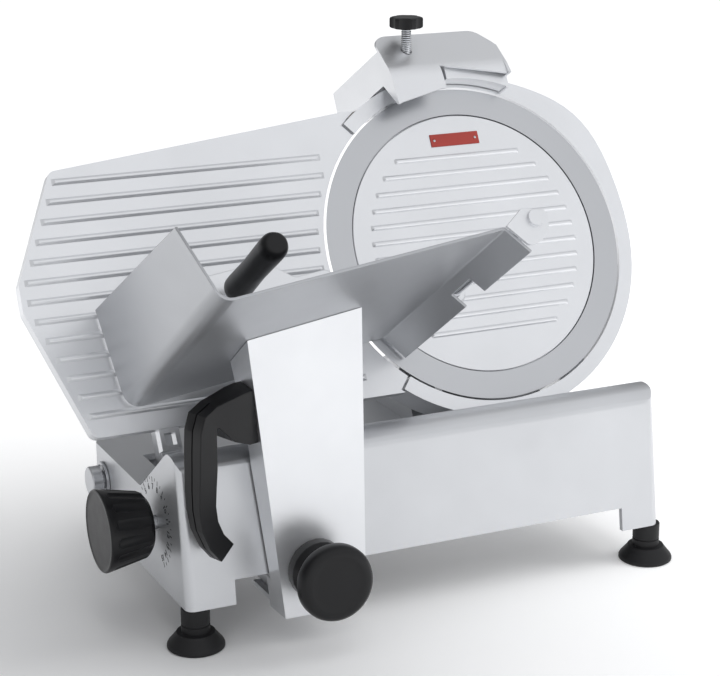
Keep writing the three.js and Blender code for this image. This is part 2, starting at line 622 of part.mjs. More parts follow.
function ringArc(inner, outerAt, from, to, steps) {
  const outerPoints = [];
  const innerPoints = [];
  for (let i = 0; i <= steps; i += 1) {
    const angle = from + (to - from) * i / steps;
    const outer = outerAt(angle);
    outerPoints.push([outer * Math.cos(angle), outer * Math.sin(angle)]);
    innerPoints.unshift([inner * Math.cos(angle), inner * Math.sin(angle)]);
  }
  return [...outerPoints, ...innerPoints];
}

function guardOuter(angle) {
  const away = (angle - share.lobeAngle) / share.lobeSpread;
  return guardRadius + guard.lobe * Math.exp(-away * away * 2);
}

function makeGuard() {
  const back = -(tower.front - fit.seat);
  const ring = slab(ringArc(guardInner, guardOuter, share.guardEnd, share.guardStart, facets.fine), back, 0);
  const hub = tube(guard.spokeInner + guard.plate, tower.hub + fit.seat * 2, back, back + guard.plate,
    facets.round);
  const middle = (guardInner + guardRadius) / 2;
  const spoke = (turn) => box([tower.hub + guard.plate, middle], [-guard.spokeWidth / 2,
    guard.spokeWidth / 2],
    [back, back + guard.plate]).rotateZ(turn);
  return join(ring, hub, spoke(share.guardStart * share.guardTopSpoke),
    spoke(-share.guardStart * share.guardLowSpoke),
    spoke(-Math.PI + share.guardStart * share.guardLowSpoke));
}
piece(bladeSide, 'blade_guard', makeGuard(), finish.plate);

function makeBearing(from) {
  return tube(bearing.outer, shaft.radius + fit.running, -from - bearing.width, -from, facets.round);
}
piece(bladeSide, 'bearing_front', makeBearing(bearing.front), finish.steel);
piece(bladeSide, 'bearing_rear', makeBearing(bearing.rear), finish.steel);

const coverBack = -cover.thickness;
function makeCover() {
  const radius = blade.ring - cover.gap;
  const plate = turning([[0, coverBack], [radius, coverBack], [radius, -cover.chamfer],
    [radius - cover.chamfer, 0], [0, 0]],
    facets.fine);
  const rows = Array.from({ length: cover.ridgeRows }, (_, i) => {
    const across = (i - (cover.ridgeRows - 1) / 2) * cover.ridgePitch;
    const reach = Math.sqrt((radius - cover.ridgeMargin) ** 2 - across ** 2);
    return ridge(-reach, reach, across, cover.ridgeWidth, cover.ridgeTop, cover.ridgeHeight, cover.chamfer);
  });
  return join(plate, ...rows);
}
piece(bladeSide, 'blade_cover', makeCover(), finish.plate);
piece(bladeSide, 'cover_tie_rod', drum(tieRod.radius, -tieRod.back, coverBack - fit.seat), finish.steel);

function loopOutline(first, second, apart) {
  const lean = Math.asin((first - second) / apart);
  const points = [];
  const arc = (radius, centre, from, to) => {
    for (let i = 0; i <= facets.medium; i += 1) {
      const angle = from + (to - from) * i / facets.medium;
      points.push([radius * Math.cos(angle), centre + radius * Math.sin(angle)]);
    }
  };
  arc(first, 0, -lean, Math.PI + lean);
  arc(second, -apart, Math.PI + lean, 2 * Math.PI - lean);
  return points;
}

const beltInner = (radius) => radius + fit.running;
const beltOuter = (radius) => beltInner(radius) + belt.thickness;
const beltMiddle = -(shaft.pulleyFront + shaft.pulleyBack) / 2;
piece(bladeSide, 'drive_belt', cut(
  slab(loopOutline(beltOuter(shaft.pulley), beltOuter(motor.pulley), motor.drop),
  beltMiddle - belt.width / 2,
    beltMiddle + belt.width / 2),
  slab(loopOutline(beltInner(shaft.pulley), beltInner(motor.pulley), motor.drop), -bladeHeight, 0)),
  finish.rubber);

function makeBeltCover() {
  const outer = (radius) => beltOuter(radius) + beltCover.margin + beltCover.wall;
  const inner = (radius) => beltOuter(radius) + beltCover.margin;
  const front = towerBack - fit.seat;
  const shell = slab(loopOutline(outer(shaft.pulley), outer(motor.pulley), motor.drop), -beltCover.back,
    front);
  const room = slab(loopOutline(inner(shaft.pulley), inner(motor.pulley), motor.drop),
    -beltCover.back + beltCover.wall, 0);
  return cut(shell, room, drum(tieRod.radius + fit.running, -bladeHeight, 0),
    drum(beltCover.shaftHole, -bladeHeight, 0).translate(0, -motor.drop, 0));
}
piece(bladeSide, 'belt_cover', makeBeltCover(), finish.casting);

const motorFront = -(housing.front + housing.wall + fit.seat);
function makeMotor() {
  const body = turning([[0, -motor.back], [motor.endBell, -motor.back], [motor.radius,
    -motor.back + motor.endBellLength],
    [motor.radius, motorFront], [motor.shaft + fit.running, motorFront],
    [motor.shaft + fit.running, motorFront - motor.shaftDepth], [0, motorFront - motor.shaftDepth]],
    facets.round);
  return body.translate(0, -motor.drop, 0);
}
piece(bladeSide, 'motor', makeMotor(), finish.enamel);

const gaugeRodEnds = [-gaugeSlide.rodBack + gaugeSlide.ear / 2 + fit.seat,
  -gaugeSlide.rodFront + gaugeSlide.ear / 2];
piece(bladeSide, 'gauge_rod', drum(gaugeSlide.rodRadius, ...gaugeRodEnds).translate(gaugeSlide.x,
  -rodDrop, 0),
  finish.chrome);

function upBlade(geometry) {
  return geometry.rotateX(-Math.PI / 2);
}
piece(bladeSide, 'sharpener_post', upBlade(drum(sharpener.post, sharpener.postFoot + fit.seat,
  sharpener.postTop))
  .translate(sharpener.postX, blade.radius, sharpener.postN), finish.chrome);

// The blade and its hollow shaft, which spin

const bladeSpin = new THREE.Group();
bladeSide.add(bladeSpin);
piece(bladeSpin, 'blade', turning([
  [blade.bore, -blade.back], [blade.webRadius, -blade.back], [blade.radius - blade.bevel, -blade.rimBack],
  [blade.radius, -blade.edge], [blade.radius, -blade.edge / 2], [blade.radius - blade.bevel, 0],
  [blade.ring, 0],
  [blade.ring, -blade.dish], [blade.bore, -blade.dish], [blade.bore, -blade.back]], facets.fine),
  finish.steel);
piece(bladeSpin, 'blade_shaft', turning([
  [shaft.hollow, -blade.dish - fit.seat], [blade.bore - fit.seat, -blade.dish - fit.seat],
  [blade.bore - fit.seat, -blade.back - fit.seat], [shaft.flange, -blade.back - fit.seat],
  [shaft.flange, -shaft.flangeBack], [shaft.radius, -shaft.flangeBack], [shaft.radius, -shaft.pulleyFront],
  [shaft.pulley, -shaft.pulleyFront], [shaft.pulley, -shaft.pulleyBack], [shaft.radius, -shaft.pulleyBack],
  [shaft.radius, -shaft.back], [shaft.hollow, -shaft.back], [shaft.hollow, -blade.dish - fit.seat]],
  facets.round),
finish.steel);

const motorSpin = new THREE.Group();
motorSpin.position.set(0, -motor.drop, 0);
bladeSide.add(motorSpin);
piece(motorSpin, 'motor_pulley', turning([
  [0, motorFront - motor.shaftDepth + fit.seat], [motor.shaft, motorFront - motor.shaftDepth + fit.seat],
  [motor.shaft, -shaft.pulleyBack], [motor.pulley, -shaft.pulleyBack], [motor.pulley, -shaft.pulleyFront],
  [0, -shaft.pulleyFront]], facets.medium), finish.steel);

// A lofted solid through rings of equal point counts, each [points, height], closed flat at both ends.
function loft(rings) {
  const count = rings[0][0].length;
  const positions = rings.flatMap(([points, height]) => points.flatMap(([x, y]) => [x, y, height]));
  const faces = [];
  rings.slice(1).forEach((_, r) => {
    for (let i = 0; i < count; i += 1) {
      const next = (i + 1) % count;
      const low = r * count;
      const high = low + count;
      faces.push(low + i, low + next, high + next, low + i, high + next, high + i);
    }
  });
  const ends = [[0, rings[0][1]], [(rings.length - 1) * count, rings[rings.length - 1][1]]];
  ends.forEach(([first, height], end) => {
    const centre = positions.length / 3;
    positions.push(0, 0, height);
    for (let i = 0; i < count; i += 1) {
      const next = (i + 1) % count;
      faces.push(...(end ? [centre, first + i, first + next] : [centre, first + next, first + i]));
    }
  });
  const geometry = new THREE.BufferGeometry();
  geometry.setAttribute('position', new THREE.BufferAttribute(Float32Array.from(positions), 3));
  geometry.setIndex(faces);
  return geometry;
}

function lobedKnob(radius, length, depth, lobes) {
  const steps = lobes * facets.corner * 2;
  const round = depth / 2;
  const ring = (size) => lobed(size, depth, lobes, steps);
  return loft([[ring(radius - round), 0], [ring(radius), round], [ring(radius), length - round],
    [ring(radius - round), length]]);
}

const coverTurn = new THREE.Group();
bladeSide.add(coverTurn);
const coverKnobFront = -(beltCover.back + fit.seat);
piece(coverTurn, 'cover_knob', cut(
  lobedKnob(coverKnob.radius, coverKnob.length, coverKnob.lobeDepth, coverKnob.lobes)
    .translate(0, 0, coverKnobFront - coverKnob.length),
  drum(tieRod.radius + fit.running, -tieRod.back - fit.seat, 0)), finish.black);

// Sharpener

const sharpenerLift = new THREE.Group();
sharpenerLift.position.set(0, blade.radius, 0);
bladeSide.add(sharpenerLift);

const faceSlope = (sharpener.roofN - sharpener.bendN) / (sharpener.roofTop - sharpener.bend);
const faceAt = (rise) => sharpener.bendN + (rise - sharpener.bend) * faceSlope;
const clampMatrix = new THREE.Matrix4().makeRotationX(slope.blade - Math.PI / 2)
  .setPosition(clampKnob.x, clampKnob.rise, faceAt(clampKnob.rise));

function makeSharpener() {
  const sheet = sharpener.sheet;
  const foot = [sharpener.flapLeft, sharpener.front];
  const bend = [sharpener.bend, sharpener.bendN, sharpener.bendRadius];
  const leftTop = sharpener.roofTop - sharpener.leftCorner;
  const rightTop = sharpener.roofTop - sharpener.cornerDrop;
  const fold = alongX(slab(sheetOutline([foot, bend, [sharpener.roofTop, sharpener.roofN]], sheet),
    sharpener.left, sharpener.right));
  const face = slab(outline([[sharpener.left, sharpener.flapLeft], [sharpener.flapMidX, sharpener.flapMid],
    [sharpener.windowLeft, sharpener.flapMid], [sharpener.windowLeft, sharpener.windowTop],
    [sharpener.right, sharpener.windowLow], [sharpener.right, rightTop, sharpener.cornerRound],
    [sharpener.cornerX, sharpener.roofTop, sharpener.cornerRound],
    [sharpener.left, sharpener.roofTop, sharpener.leftCorner]]), -fit.overrun, fit.overrun + sharpener.front);
  const leftCheek = alongX(slab(outline([foot, bend, [leftTop, faceAt(leftTop)],
    [sharpener.tailTop, faceAt(leftTop)], [sharpener.tailTop, sharpener.tail],
    [sharpener.tailBottom, sharpener.tail], [sharpener.cheekLow, sharpener.cheekLowN],
    [sharpener.cheekLow, sharpener.cheekStepN], [sharpener.flapLeft, sharpener.front - sheet]]),
  sharpener.left, sharpener.left + sheet));
  const barEnd = Math.sqrt((blade.radius + sharpener.barIn) ** 2 - sharpener.right ** 2) - blade.radius;
  const rightCheek = alongX(slab(outline([[barEnd, sharpener.barFront], [sharpener.windowLow,
    sharpener.barFront], [sharpener.windowLow, sharpener.front], bend, [rightTop, faceAt(rightTop)],
  [rightTop, sharpener.barBack], [barEnd, sharpener.barBack]]), sharpener.right - sheet, sharpener.right));
  const bar = common(
    slab(ringArc(blade.radius + sharpener.barIn, () => blade.radius + sharpener.barOut, share.barFrom,
      share.barTo, facets.small), sharpener.barBack, sharpener.barFront).translate(0, -blade.radius, 0),
    box([sharpener.barLeft, sharpener.right], [-blade.radius, sharpener.barOut],
      [sharpener.barBack, sharpener.barFront]));
  const tail = cut(
    box([sharpener.left, sharpener.tailRight], [sharpener.tailBottom, sharpener.tailTop],
      [sharpener.tail, sharpener.hoodFront]),
    box([sharpener.left + sheet, sharpener.tailRight - sheet], [0, sharpener.tailTop - sheet],
      [sharpener.tail + sheet, sharpener.hoodFront + sheet]));
  const boss = upBlade(drum(sharpener.post + sheet, tower.armTop + fit.seat, sharpener.tailTop))
    .translate(sharpener.postX, 0, sharpener.postN);
  const bore = upBlade(drum(sharpener.post + fit.running, -fit.overrun, sharpener.postTop + fit.overrun))
    .translate(sharpener.postX, 0, sharpener.postN);
  const shafts = [stone.grindX, stone.honeX].map((x) => drum(stone.shaft + fit.running, -bladeHeight,
    stone.n)
    .translate(x, stone.rise, 0));
  const clampHole = placed(drum(clampKnob.stem + fit.running, -fit.overrun, fit.overrun), clampMatrix);
  return cut(join(common(fold, face), rightCheek, bar, leftCheek, tail, boss), bore, ...shafts, clampHole);
}

piece(sharpenerLift, 'sharpener_body', makeSharpener(), finish.plate);

const clampTurn = new THREE.Group();
clampTurn.applyMatrix4(clampMatrix);
sharpenerLift.add(clampTurn);
piece(clampTurn, 'clamp_knob', join(
  lobedKnob(clampKnob.radius, clampKnob.length, clampKnob.lobeDepth, clampKnob.lobes).translate(0, 0,
  clampKnob.stemLength),
  drum(clampKnob.stem, -clampKnob.seat, clampKnob.stemLength + clampKnob.length / 2, facets.small)),
  finish.black);

function addStone(name, x) {
  const press = new THREE.Group();
  press.position.set(x, stone.rise, 0);
  sharpenerLift.add(press);
  const buttonFront = sharpener.tail - stone.travel - fit.seat;
  const backOfStone = stone.n - stone.width / 2;
  const frontOfStone = stone.n + stone.width / 2;
  piece(press, `${name}_button`, turning([[0, buttonFront - stone.buttonHeight],
    [stone.button, buttonFront - stone.buttonHeight], [stone.button, buttonFront], [stone.shaft,
    buttonFront],
    [stone.shaft, backOfStone - fit.running - stone.collar], [stone.shaft * 2,
    backOfStone - fit.running - stone.collar],
    [stone.shaft * 2, backOfStone - fit.running], [stone.shaft, backOfStone - fit.running],
    [stone.shaft, frontOfStone + fit.running], [stone.shaft * 2, frontOfStone + fit.running],
    [stone.shaft * 2, frontOfStone + fit.running + stone.collar], [0,
    frontOfStone + fit.running + stone.collar]],
  facets.small), finish.black);
  const spin = new THREE.Group();
  press.add(spin);
  piece(spin, `${name}_stone`, tube(stone.radius, stone.shaft + fit.running, backOfStone, frontOfStone),
    finish.stone);
}
addStone('grinding', stone.grindX);
addStone('honing', stone.honeX);

// Gauge plate and its slide

const gaugeMove = bladeFrame(machine);
const gaugeCorners = [
  [gauge.bottomLeftX, gauge.bottom, gauge.corner], [gauge.bottomRightX, gauge.bottom],
  [gauge.bottomRightX, gauge.topRight], [gauge.topRightX, gauge.topRight, gauge.corner],
  [gauge.topLeftX, gauge.topLeft, gauge.corner], [gauge.left + fit.seat, gauge.shoulder, gauge.corner],
  [gauge.left, gauge.knee, gauge.corner],
];

function gaugeRidgeStart(across) {
  const upper = across > gauge.knee;
  const [farX, far] = upper ? [gauge.topLeftX, gauge.topLeft] : [gauge.bottomLeftX, gauge.bottom];
  const near = upper ? gauge.shoulder : gauge.knee;
  const along = THREE.MathUtils.clamp((across - near) / (far - near), 0, 1);
  return THREE.MathUtils.lerp(gauge.left, farX, along) + gauge.ridgeMargin;
}

function makeGaugePlate() {
  const keepOut = [
    drum(gaugeCut, -bladeHeight, bladeHeight, facets.fine),
    slab(ringArc(blade.radius - fit.overrun, () => guardRadius + gauge.guardGap,
      share.guardEnd - share.guardGap, share.guardStart + share.guardGap, facets.fine),
    -bladeHeight, bladeHeight),
  ];
  const plate = cut(slab(outline(gaugeCorners), -gauge.back, -gauge.front), ...keepOut);
  const pocketKeepOut = [
    drum(gaugeCut + gauge.rim, -bladeHeight, bladeHeight, facets.fine),
    slab(ringArc(blade.radius - fit.overrun, () => guardRadius + gauge.rim + gauge.guardGap,
      share.guardEnd - share.guardRim, share.guardStart + share.guardRim, facets.fine),
    -bladeHeight, bladeHeight),
  ];
  const pocket = cut(slab(outline(inset(gaugeCorners, gauge.rim)), -gauge.back - gauge.rim,
    -gauge.front - gauge.plate),
    ...pocketKeepOut);
  const rows = Array.from({ length: gauge.ridgeRows }, (_, i) => {
    const across = THREE.MathUtils.lerp(gauge.ridgeFirst, gauge.ridgeLast, i / (gauge.ridgeRows - 1));
    const round = Math.sqrt(Math.max((gaugeCut + gauge.ridgeMargin) ** 2 - across ** 2, 0));
    const end = Math.min(gauge.ridgeEnd, -round);
    return ridge(gaugeRidgeStart(across), end, across, gauge.ridgeWidth, gauge.ridgeTop,
      gauge.ridgeHeight, gauge.front / 2)
      .translate(0, 0, -gauge.front);
  });
  const lug = cut(
    box([gauge.lugLeft, gauge.lugRight], [gauge.lugBottom, gauge.bottom + gauge.rim / 2], [-gauge.back,
    -gauge.front * 2]),
    box([gauge.lugLeft + gauge.lugWindow, gauge.lugRight - gauge.lugWindow],
      [gauge.lugBottom + gauge.lugWindow, gauge.bottom - gauge.lugWindow], [-bladeHeight, 0]));
  return join(cut(plate, pocket), lug, ...rows);
}
piece(gaugeMove, 'gauge_plate', makeGaugePlate(), finish.plate);

function makeGaugeBracket() {
  const slide = gaugeSlide;
  const sides = [slide.x - slide.half, slide.x + slide.half];
  const padFront = -(gauge.front + gauge.plate + fit.seat);
  const pad = box([slide.x - slide.padHalf, slide.x + slide.padHalf], [slide.padBottom, slide.padTop],
    [padFront - slide.pad, padFront]);
  const web = box(sides, [slide.webBottom, slide.webTop], [-slide.neckBack, padFront]);
  const neck = box(sides, [-rodDrop, slide.webTop], [-slide.neckBack, -slide.neckFront]);
  const body = box(sides, [-rodDrop - slide.blockHalf, -rodDrop + slide.blockHalf],
    [-slide.blockBack, -slide.blockFront]);
  const bore = drum(slide.rodRadius + fit.running, -bladeHeight, 0).translate(slide.x, -rodDrop, 0);
  return cut(join(pad, web, neck, body, followerArm(sides[0])), bore);
}

function followerArm(blockSide) {
  const noseN = dialPoint.z - dial.camSmall - fit.running - dial.nose;
  const level = [dialPoint.y - dial.nose, dialPoint.y + dial.nose];
  const from = dial.camFrom + fit.seat;
  const to = dial.camTo - fit.seat;
  const nose = alongX(drum(dial.nose, from, to)).translate(0, dialPoint.y, noseN);
  const reach = box([from, to], level, [-gaugeSlide.neckFront, noseN]);
  const across = box([from, blockSide + dial.nose], level, [-gaugeSlide.neckFront,
    -gaugeSlide.blockFront - dial.nose]);
  return join(nose, reach, across);
}
piece(gaugeMove, 'gauge_bracket', makeGaugeBracket(), finish.casting);

// Thickness dial: knob, shaft and spiral cam turn together

const dialTurn = new THREE.Group();
dialTurn.position.set(0, dial.y, dial.z);
machine.add(dialTurn);

function makeThicknessKnob() {
  const steps = dial.flutes * share.fluteSteps;
  const ring = (radius) => lobed(radius, dial.fluteDepth, dial.flutes, steps);
  const face = dial.knobFace;
  const body = loft([[ring(dial.knobBase), 0], [ring(face), dial.knobLength - dial.faceRound * 2],
    [ring(face), dial.knobLength - dial.faceRound], [ring(face - dial.faceRound), dial.knobLength]]);
  const bore = drum(dial.shaft + fit.seat, -fit.overrun, dial.knobLength / 2 + fit.seat);
  return geometryOf(cut(body, bore)).rotateY(-Math.PI / 2).translate(base.left - dial.knobGap, 0, 0);
}
piece(dialTurn, 'thickness_knob', makeThicknessKnob(), finish.black);
piece(dialTurn, 'thickness_shaft', alongX(drum(dial.shaft,
  base.left - dial.knobGap - dial.knobLength / 2, dial.camTo + dial.nose,
  facets.small)), finish.steel);

function makeCam() {
  const points = [];
  const steps = facets.fine;
  for (let i = 0; i <= steps; i += 1) {
    const turn = dial.camSweep * i / steps;
    const radius = dial.camSmall + dial.camRise * i / steps;
    points.unshift([radius * Math.cos(-slope.blade - turn), radius * Math.sin(-slope.blade - turn)]);
  }
  for (let i = 1; i <= facets.corner; i += 1) {
    const turn = -share.camDwell * i / facets.corner;
    points.push([dial.camSmall * Math.cos(-slope.blade - turn),
      dial.camSmall * Math.sin(-slope.blade - turn)]);
  }
  return cut(alongX(slab(points, dial.camFrom, dial.camTo)),
    alongX(drum(dial.shaft + fit.seat, base.left, base.right, facets.small)));
}
piece(dialTurn, 'thickness_cam', makeCam(), finish.bronze);

// Carriage

const carriage = new THREE.Group();
machine.add(carriage);

const blockBottom = column.bottomZ + column.footThickness + fit.seat * 2 + column.footLift;
const rollerZ = rail.barZ + rail.barHalf + fit.running + block.rollerRadius;
const blockMiddle = (block.left + block.right) / 2;
function makeBlock() {
  const body = box([block.left, block.right], [block.front, block.back], [blockBottom, block.top]);
  const bore = alongX(drum(rail.radius + fit.running * 3, block.left - fit.overrun,
    block.right + fit.overrun));
  const seatDepth = block.bushLength + fit.seat;
  const seats = [[block.left - fit.overrun, block.left + seatDepth], [block.right - seatDepth,
    block.right + fit.overrun]]
    .map(([from, to]) => alongX(drum(block.bush + fit.seat, from, to)).translate(0, rail.y, rail.z));
  const rollerEdge = rail.barY - block.rollerWidth / 2 - fit.running;
  const rollerFar = rail.barY + block.rollerWidth / 2 + fit.running;
  const pin = join(
    alongFront(drum(block.pinRadius, -rollerFar - block.pinHead / 2, -block.back + block.pinHead,
    facets.small)),
    alongFront(drum(block.pinHeadRadius, -rollerFar - block.pinHead, -rollerFar, facets.small)),
    alongFront(drum(block.pinHeadRadius, -rollerEdge, -block.back + block.pinHead, facets.small)));
  return join(cut(body, bore.translate(0, rail.y, rail.z), ...seats),
    geometryOf(pin).translate(blockMiddle, 0, rollerZ));
}
piece(carriage, 'slide_block', makeBlock(), finish.casting);

function makeBush(from) {
  return alongX(tube(block.bush, rail.radius + fit.running, from, from + block.bushLength)).translate(0,
    rail.y, rail.z);
}
piece(carriage, 'slide_bush_left', makeBush(block.left), finish.bronze);
piece(carriage, 'slide_bush_right', makeBush(block.right - block.bushLength), finish.bronze);

const roller = new THREE.Group();
roller.position.set(blockMiddle, rail.barY, rollerZ);
carriage.add(roller);
piece(roller, 'guide_roller', alongFront(tube(block.rollerRadius, block.pinRadius + fit.running,
  -block.rollerWidth / 2,
  block.rollerWidth / 2)), finish.steel);

const columnSide = new THREE.Group();
columnSide.applyMatrix4(columnMatrix);
carriage.add(columnSide);
const columnDrop = (z) => (z - columnTop) / Math.cos(slope.column);
const columnShare = (z) => (z - column.bottomZ) / (columnTop - column.bottomZ);
const columnLeft = (z) => THREE.MathUtils.lerp(column.bottomLeft, column.topLeft, columnShare(z));
const columnRight = (z) => THREE.MathUtils.lerp(column.bottomRight, column.topRight, columnShare(z));

function makeColumn() {
  const high = columnTop + fit.overrun;
  const top = columnDrop(high);
  const bottom = columnDrop(column.bottomZ);
  const face = [[column.bottomLeft, bottom], [column.bottomRight, bottom], [columnRight(high), top],
    [columnLeft(high), top]];
  const side = alongX(slab([[bottom, 0], [bottom, -column.depth], [columnDrop(columnKnee), -column.depth],
    [0, -column.topDepth], [top, -column.topDepth], [top, 0]], column.topLeft - fit.overrun,
    column.topRight + fit.overrun));
  const shell = common(slab(face, -column.topDepth, 0), side);
  const inner = [[column.bottomLeft + column.wall, bottom - fit.overrun],
    [column.bottomRight - column.wall, bottom - fit.overrun],
    [columnRight(high) - column.wall, top + fit.overrun], [columnLeft(high) + column.wall,
    top + fit.overrun]];
  const channel = cut(shell, slab(inner, -column.topDepth - fit.overrun, -column.wall));
  const footPlate = box([column.bottomLeft + column.wall / 2, column.bottomRight - column.wall / 2],
    [column.frontAtTop - Math.tan(slope.column) * (columnTop - column.bottomZ) + column.wall / 2,
    column.footBack],
    [column.bottomZ + column.footLift, column.bottomZ + column.footLift + column.footThickness]);
  const beam = alongX(slab(outline(inset(section(base.beamBottom), -column.beamGap)), base.left * 2,
    base.right * 2));
  const floorSpace = placed(box([-tray.width, tray.width * 2], [-tray.length, tray.length * 2],
    [-tray.sheet - fit.seat, tray.length]), trayMatrix);
  const studHole = drum(lock.stud + fit.seat, -column.depth, fit.overrun).translate(lock.x,
    columnDrop(lock.z), 0);
  const local = (geometry) => placed(geometry, toColumn);
  return cut(join(cut(channel, local(beam)), local(footPlate)), local(floorSpace), studHole);
}
piece(columnSide, 'column', makeColumn(), finish.plate);

const traySide = new THREE.Group();
traySide.applyMatrix4(trayMatrix);
carriage.add(traySide);

// The outline of a bent sheet: a path of corners [x, y, radius] and the same path shifted to its right.
function sheetOutline(path, thickness) {
  const at = path.map(([x, y]) => new THREE.Vector2(x, y));
  const right = (from, to) => new THREE.Vector2(to.y - from.y, from.x - to.x).normalize();
  const shifted = path.map(([, , radius], i) => {
    const first = right(at[Math.max(i - 1, 0)], at[Math.max(i, 1)]);
    const second = right(at[Math.min(i, at.length - 2)], at[Math.min(i + 1, at.length - 1)]);
    const middle = first.clone().add(second).normalize();
    const shift = thickness / Math.sqrt((1 + first.dot(second)) / 2);
    const left = first.cross(second) > 0;
    const changed = radius ? Math.max(radius + (left ? thickness : -thickness), 0) : 0;
    return [at[i].x + middle.x * shift, at[i].y + middle.y * shift, changed];
  });
  return outline([...path, ...shifted.reverse()]);
}

const flangeOut = [tray.flange * Math.cos(slope.flange), tray.flange * Math.sin(slope.flange)];
function makeTray() {
  const path = [[0, tray.wallBack], [0, 0, tray.bend], [tray.width, 0, tray.sheet * 2],
    [tray.width + flangeOut[0], -flangeOut[1]]];
  const sheet = alongFront(slab(sheetOutline(path, tray.sheet), -fit.overrun, tray.length));
  const overWall = alongX(slab([[fit.overrun * 2, tray.wallBack], [0, tray.wallBack],
    [-tray.wallFrontEnd, tray.wallFront],
    [-tray.length, tray.bend], [-tray.length - fit.overrun, tray.bend], [-tray.length - fit.overrun,
    tray.wallBack * 2],
    [fit.overrun * 2, tray.wallBack * 2]], -tray.sheet * 2, tray.sheet));
  const behind = placed(box([-bladeHeight * 2, bladeHeight * 2], [-bladeHeight * 2, bladeHeight * 2],
    [-bladeHeight, tray.bladeGap]), new THREE.Matrix4().multiplyMatrices(toTray, bladeMatrix));
  const notch = box([tray.notchTop, tray.flange * 2], [-tray.notchTo, -tray.notchFrom], [-tray.sheet * 2,
    tray.sheet * 2])
    .rotateY(slope.flange).translate(tray.width, 0, 0);
  return cut(sheet, overWall, behind, notch);
}
piece(traySide, 'tray', makeTray(), finish.plate);

function bracketPlate(from) {
  const round = alongFront(drum(rod.bracketRound, from, from + rod.bracket)).translate(rodAcross, 0, rod.up);
  const arm = box([tray.width + rod.bracket, rodAcross], [-from - rod.bracket, -from],
    [rod.up - rod.bracketRound, rod.up + rod.radius]);
  return join(round, arm);
}
const bracketFront = tray.length + fit.seat;
const frontPlate = outline(share.bracketPlate.map(([x, y], i) => [tray.width + x * rod.plateReach,
  y * rod.plateReach, i ? rod.plateRound : 0]));
piece(traySide, 'rod_bracket_front', join(
  alongFront(slab(frontPlate, bracketFront, bracketFront + rod.bracket)),
  alongFront(drum(rod.boltRadius, bracketFront + rod.bracket / 2,
    bracketFront + rod.bracket + rod.boltHead, facets.small)).translate(rodAcross, 0, rod.up)), finish.plate);
const bracketRear = rod.start - fit.seat - rod.bracket;
function makeRearBracket() {
  const top = tray.width + (fit.seat * 2 + fit.seat) / Math.sin(slope.flange);
  const run = tray.flange / Math.tan(slope.flange);
  const space = slab([[0, tray.flange], [top - run, tray.flange], [top + run, -tray.flange], [0,
    -tray.flange]], -tray.length,
    tray.length).rotateX(Math.PI / 2);
  return cut(bracketPlate(bracketRear), space);
}
piece(traySide, 'rod_bracket_rear', makeRearBracket(), finish.plate);
piece(traySide, 'pusher_rod', alongFront(drum(rod.radius, rod.start, tray.length)).translate(rodAcross, 0,
  rod.up), finish.chrome);

function makeGrip() {
  const section = [];
  for (let i = 0; i < facets.small; i += 1) {
    const angle = 2 * Math.PI * i / facets.small;
    section.push([grip.depth * Math.cos(angle), grip.width * Math.sin(angle)]);
  }
  const path = share.gripPath.map(([x, y, z]) => [grip.hubX + x * grip.reach, grip.hubY + y * grip.bulge,
    columnTop - grip.hubDrop + z * grip.drop]);
  const hub = alongX(drum(grip.hub, grip.hubX - grip.hubDepth / 2, column.topRight)).translate(0,
    grip.hubY, columnTop - grip.hubDrop);
  const low = column.bottomZ;
  const high = columnTop + fit.overrun;
  const columnSpace = placed(slab([[columnLeft(low) - fit.seat, columnDrop(low)], [0, columnDrop(low)],
    [0, columnDrop(high)],
    [columnLeft(high) - fit.seat, columnDrop(high)]], -bladeHeight, bladeHeight), columnMatrix);
  return cut(join(sweep(path, section, facets.small + facets.corner), hub), columnSpace);
}
piece(carriage, 'grip_handle', makeGrip(), finish.black);

// Lock knob at the column's foot

const lockSide = new THREE.Group();
lockSide.position.set(lock.x, columnDrop(lock.z), 0);
columnSide.add(lockSide);
piece(lockSide, 'lock_collar', turning([[lock.stud + fit.running, fit.seat], [lock.collar, fit.seat],
  [lock.collar, lock.collarLength / 2], [lock.collarNose, lock.collarLength], [lock.stud + fit.running,
  lock.collarLength],
  [lock.stud + fit.running, fit.seat]], facets.medium), finish.black);
const lockTurn = new THREE.Group();
lockSide.add(lockTurn);
const neckBack = lock.collarLength + fit.running;
const discBack = neckBack + lock.neckLength;
piece(lockTurn, 'lock_knob', turning([[0, -column.wall - lock.stud], [lock.stud,
  -column.wall - lock.stud], [lock.stud, neckBack],
  [lock.neck, neckBack], [lock.neck, discBack], [lock.disc - lock.discRound, discBack], [lock.disc,
  discBack + lock.discRound],
  [lock.disc, discBack + lock.discLength - lock.discRound], [lock.disc - lock.discRound,
  discBack + lock.discLength],
  [0, discBack + lock.discLength + fit.running]], facets.round), finish.black);
piece(lockTurn, 'lock_ring', tube(lock.ring, lock.neck + fit.seat, discBack - lock.ringLength - fit.seat,
  discBack - fit.seat,
  facets.round), finish.chrome);

// Pusher

